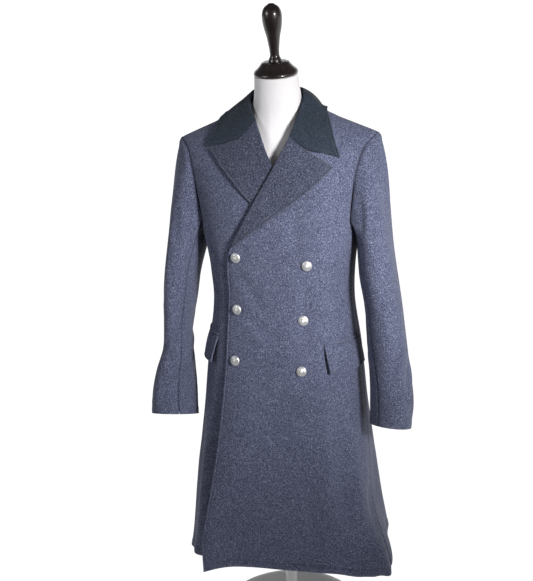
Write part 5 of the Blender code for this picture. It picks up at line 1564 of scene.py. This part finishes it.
def metal_finish():
    """Silver-coloured metal, dulled in its hollows and rubbed bright on what stands up."""
    made, tree, surface = new_finish("silvered_metal", **{"Metallic": 0.85})
    patina = noise(tree, 700.0, 3.0, 0.6)
    tone = tone_of(tree)
    raised = levels_of(tree, tone, -0.8, 0.9)
    colour = ramp(tree, raised, (0.0, (0.20, 0.195, 0.19)), (0.40, (0.78, 0.78, 0.79)),
                  (1.0, (0.97, 0.97, 0.98)))
    shade = ramp(tree, patina, (0.3, (0.82, 0.82, 0.82)), (0.6, (1.0, 1.0, 1.0)))
    colour = blend(tree, 1.0, colour, shade, "MULTIPLY")
    tree.links.new(colour, surface.inputs["Base Color"])
    tree.links.new(levels_of(tree, patina, 0.3, 0.7, 0.36, 0.52), surface.inputs["Roughness"])
    bump(tree, surface, patina, 0.15, 0.0001)
    return made


def enamel_finish():
    made, tree, surface = new_finish("white_enamel", **{"Coat Weight": 0.3, "Coat Roughness": 0.15})
    wear = noise(tree, 60.0, 4.0, 0.6)
    colour = ramp(tree, wear, (0.3, (0.76, 0.76, 0.75)), (0.7, (0.82, 0.82, 0.815)))
    tree.links.new(colour, surface.inputs["Base Color"])
    tree.links.new(levels_of(tree, wear, 0.3, 0.7, 0.30, 0.42), surface.inputs["Roughness"])
    bump(tree, surface, noise(tree, 260.0, 2.0, 0.5), 0.05, 0.0003)
    return made


def thread_finish():
    made, tree, surface = new_finish("thread", **{"Roughness": 0.6, "Sheen Weight": 0.1})
    twist = noise(tree, 2600.0, 2.0, 0.5)
    colour = ramp(tree, twist, (0.35, (0.030, 0.034, 0.052)), (0.65, (0.075, 0.083, 0.115)))
    tree.links.new(colour, surface.inputs["Base Color"])
    bump(tree, surface, twist, 0.3, 0.0001)
    return made


def floor_finish():
    """A white sweep, lit by itself behind the coat and left dim in front of it."""
    made, tree, surface = new_finish("white_sweep", **{"Roughness": 1.0, "Specular IOR Level": 0.0})
    surface.inputs["Base Color"].default_value = (0.30, 0.30, 0.30, 1.0)
    surface.inputs["Emission Color"].default_value = (1.0, 1.0, 1.0, 1.0)
    coordinates = node(tree, "ShaderNodeTexCoord")
    axes = node(tree, "ShaderNodeSeparateXYZ")
    tree.links.new(coordinates.outputs["Object"], axes.inputs["Vector"])
    glow = levels_of(tree, axes.outputs["Y"], FLOOR_FRONT, FLOOR_BACK, *FLOOR_GLOW)
    tree.links.new(glow, surface.inputs["Emission Strength"])
    return made


def floor():
    mesh = bpy.data.meshes.new("floor")
    ring = [(FLOOR_RADIUS * math.cos(a), FLOOR_RADIUS * math.sin(a), FLOOR_HEIGHT)
            for a in around(TURNED_SEGMENTS)]
    foot = len(ring)
    wall = [(x, WALL_Y, z) for x, z in ((-FLOOR_RADIUS, FLOOR_HEIGHT), (FLOOR_RADIUS, FLOOR_HEIGHT),
                                        (FLOOR_RADIUS, WALL_HEIGHT), (-FLOOR_RADIUS, WALL_HEIGHT))]
    mesh.from_pydata(ring + wall, [], [tuple(range(foot)), tuple(range(foot, foot + 4))])
    mesh.materials.append(floor_finish())
    plane = bpy.data.objects.new("floor", mesh)
    bpy.context.scene.collection.objects.link(plane)


def area_light(name, place, target, size, power, spread, colour):
    lamp = bpy.data.lights.new(name, "AREA")
    lamp.shape = "DISK"
    lamp.size = size
    lamp.spread = math.radians(spread)
    lamp.energy = power
    lamp.color = colour
    holder = bpy.data.objects.new(name, lamp)
    holder.location = place
    way = Vector(target) - Vector(place)
    holder.rotation_euler = way.to_track_quat("-Z", "Y").to_euler()
    bpy.context.scene.collection.objects.link(holder)


def studio():
    world = bpy.data.worlds.new("studio")
    world.use_nodes = True
    sky = world.node_tree.nodes["Background"]
    sky.inputs["Color"].default_value = (1.0, 1.0, 1.0, 1.0)
    sky.inputs["Strength"].default_value = WORLD_STRENGTH
    bpy.context.scene.world = world
    bpy.context.scene.view_settings.view_transform = "Standard"
    for lamp in LAMPS:
        area_light(*lamp)
    floor()


def camera():
    lens = bpy.data.cameras.new("camera")
    lens.sensor_fit = "VERTICAL"
    lens.sensor_height = 36.0
    lens.lens = LENS
    holder = bpy.data.objects.new("camera", lens)
    yaw, pitch, roll = (math.radians(angle) for angle in (CAMERA_YAW, CAMERA_PITCH, CAMERA_ROLL))
    ahead = Vector((-math.sin(yaw) * math.cos(pitch), math.cos(yaw) * math.cos(pitch), -math.sin(pitch)))
    right = Vector((math.cos(yaw), math.sin(yaw), 0.0))
    up = right.cross(ahead)
    leaned_right = right * math.cos(roll) - up * math.sin(roll)
    leaned_up = up * math.cos(roll) + right * math.sin(roll)
    turn = Matrix((leaned_right, leaned_up, -ahead)).transposed()
    holder.matrix_world = Matrix.Translation(CAMERA_PLACE) @ turn.to_4x4()
    bpy.context.scene.collection.objects.link(holder)
    bpy.context.scene.camera = holder


def main():
    hems, edges, sleeve_lines = [], [], []
    for side in ("left", "right"):
        front, edge, hem = front_panel(side)
        if side == "left":
            top_front = front
        edges.append(edge)
        hems += [hem, back_panel(side)[2]]
        sleeve_lines += sleeve(side)
        edges += lapel(side)
    collar_rows, places, foot = collar()
    collar_stand(places, foot)
    for flap in FLAPS:
        edges += pocket(flap)
    stitch_piece("hem_stitches", hems + sleeve_lines, "wool")
    stitch_piece("edge_stitches", edges, "wool")
    stitch_piece("collar_stitches", collar_rows, "felt")
    bpy.context.view_layer.update()
    for place in BUTTONS:
        button(place, top_front)
    form()
    headpiece()
    stand()
    studio()
    camera()


WOOL_SURFACE = {"Roughness": 0.92, "Specular IOR Level": 0.2, "Sheen Roughness": 0.45}
FELT_SURFACE = {"Roughness": 0.95, "Specular IOR Level": 0.15, "Sheen Roughness": 0.5}
WOOL = Finish(cloth_finish("melange_wool", (0.022, 0.026, 0.050), (0.064, 0.073, 0.128),
                           (0.165, 0.182, 0.275), (0.30, 0.32, 0.42), 0.14, 360.0, 0.08, WOOL_SURFACE),
              "wool")
FELT_CLOTH = Finish(cloth_finish("felted_collar_cloth", (0.009, 0.014, 0.023), (0.019, 0.027, 0.041),
                                 (0.042, 0.056, 0.078), (0.075, 0.092, 0.115), 0.07, 420.0, 0.05,
                                 FELT_SURFACE), "felt")
# The lapels are the coat's own wool: this darker copy of it is painted shade, for lapels that turn away from
# the key light
SHADED_LAPEL_WOOL = Finish(cloth_finish("melange_wool_lapels_painted_shade", (0.013, 0.016, 0.030), (0.038, 0.043, 0.074),
                                 (0.105, 0.116, 0.172), (0.22, 0.235, 0.31), 0.12, 360.0, 0.08, WOOL_SURFACE),
                    "wool")
JERSEY = Finish(jersey_finish(), "jersey")
WOOD = Finish(wood_finish(), "wood")
METAL = Finish(metal_finish(), "metal")
ENAMEL = Finish(enamel_finish(), "stand")
THREAD = thread_finish()

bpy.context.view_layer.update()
main()
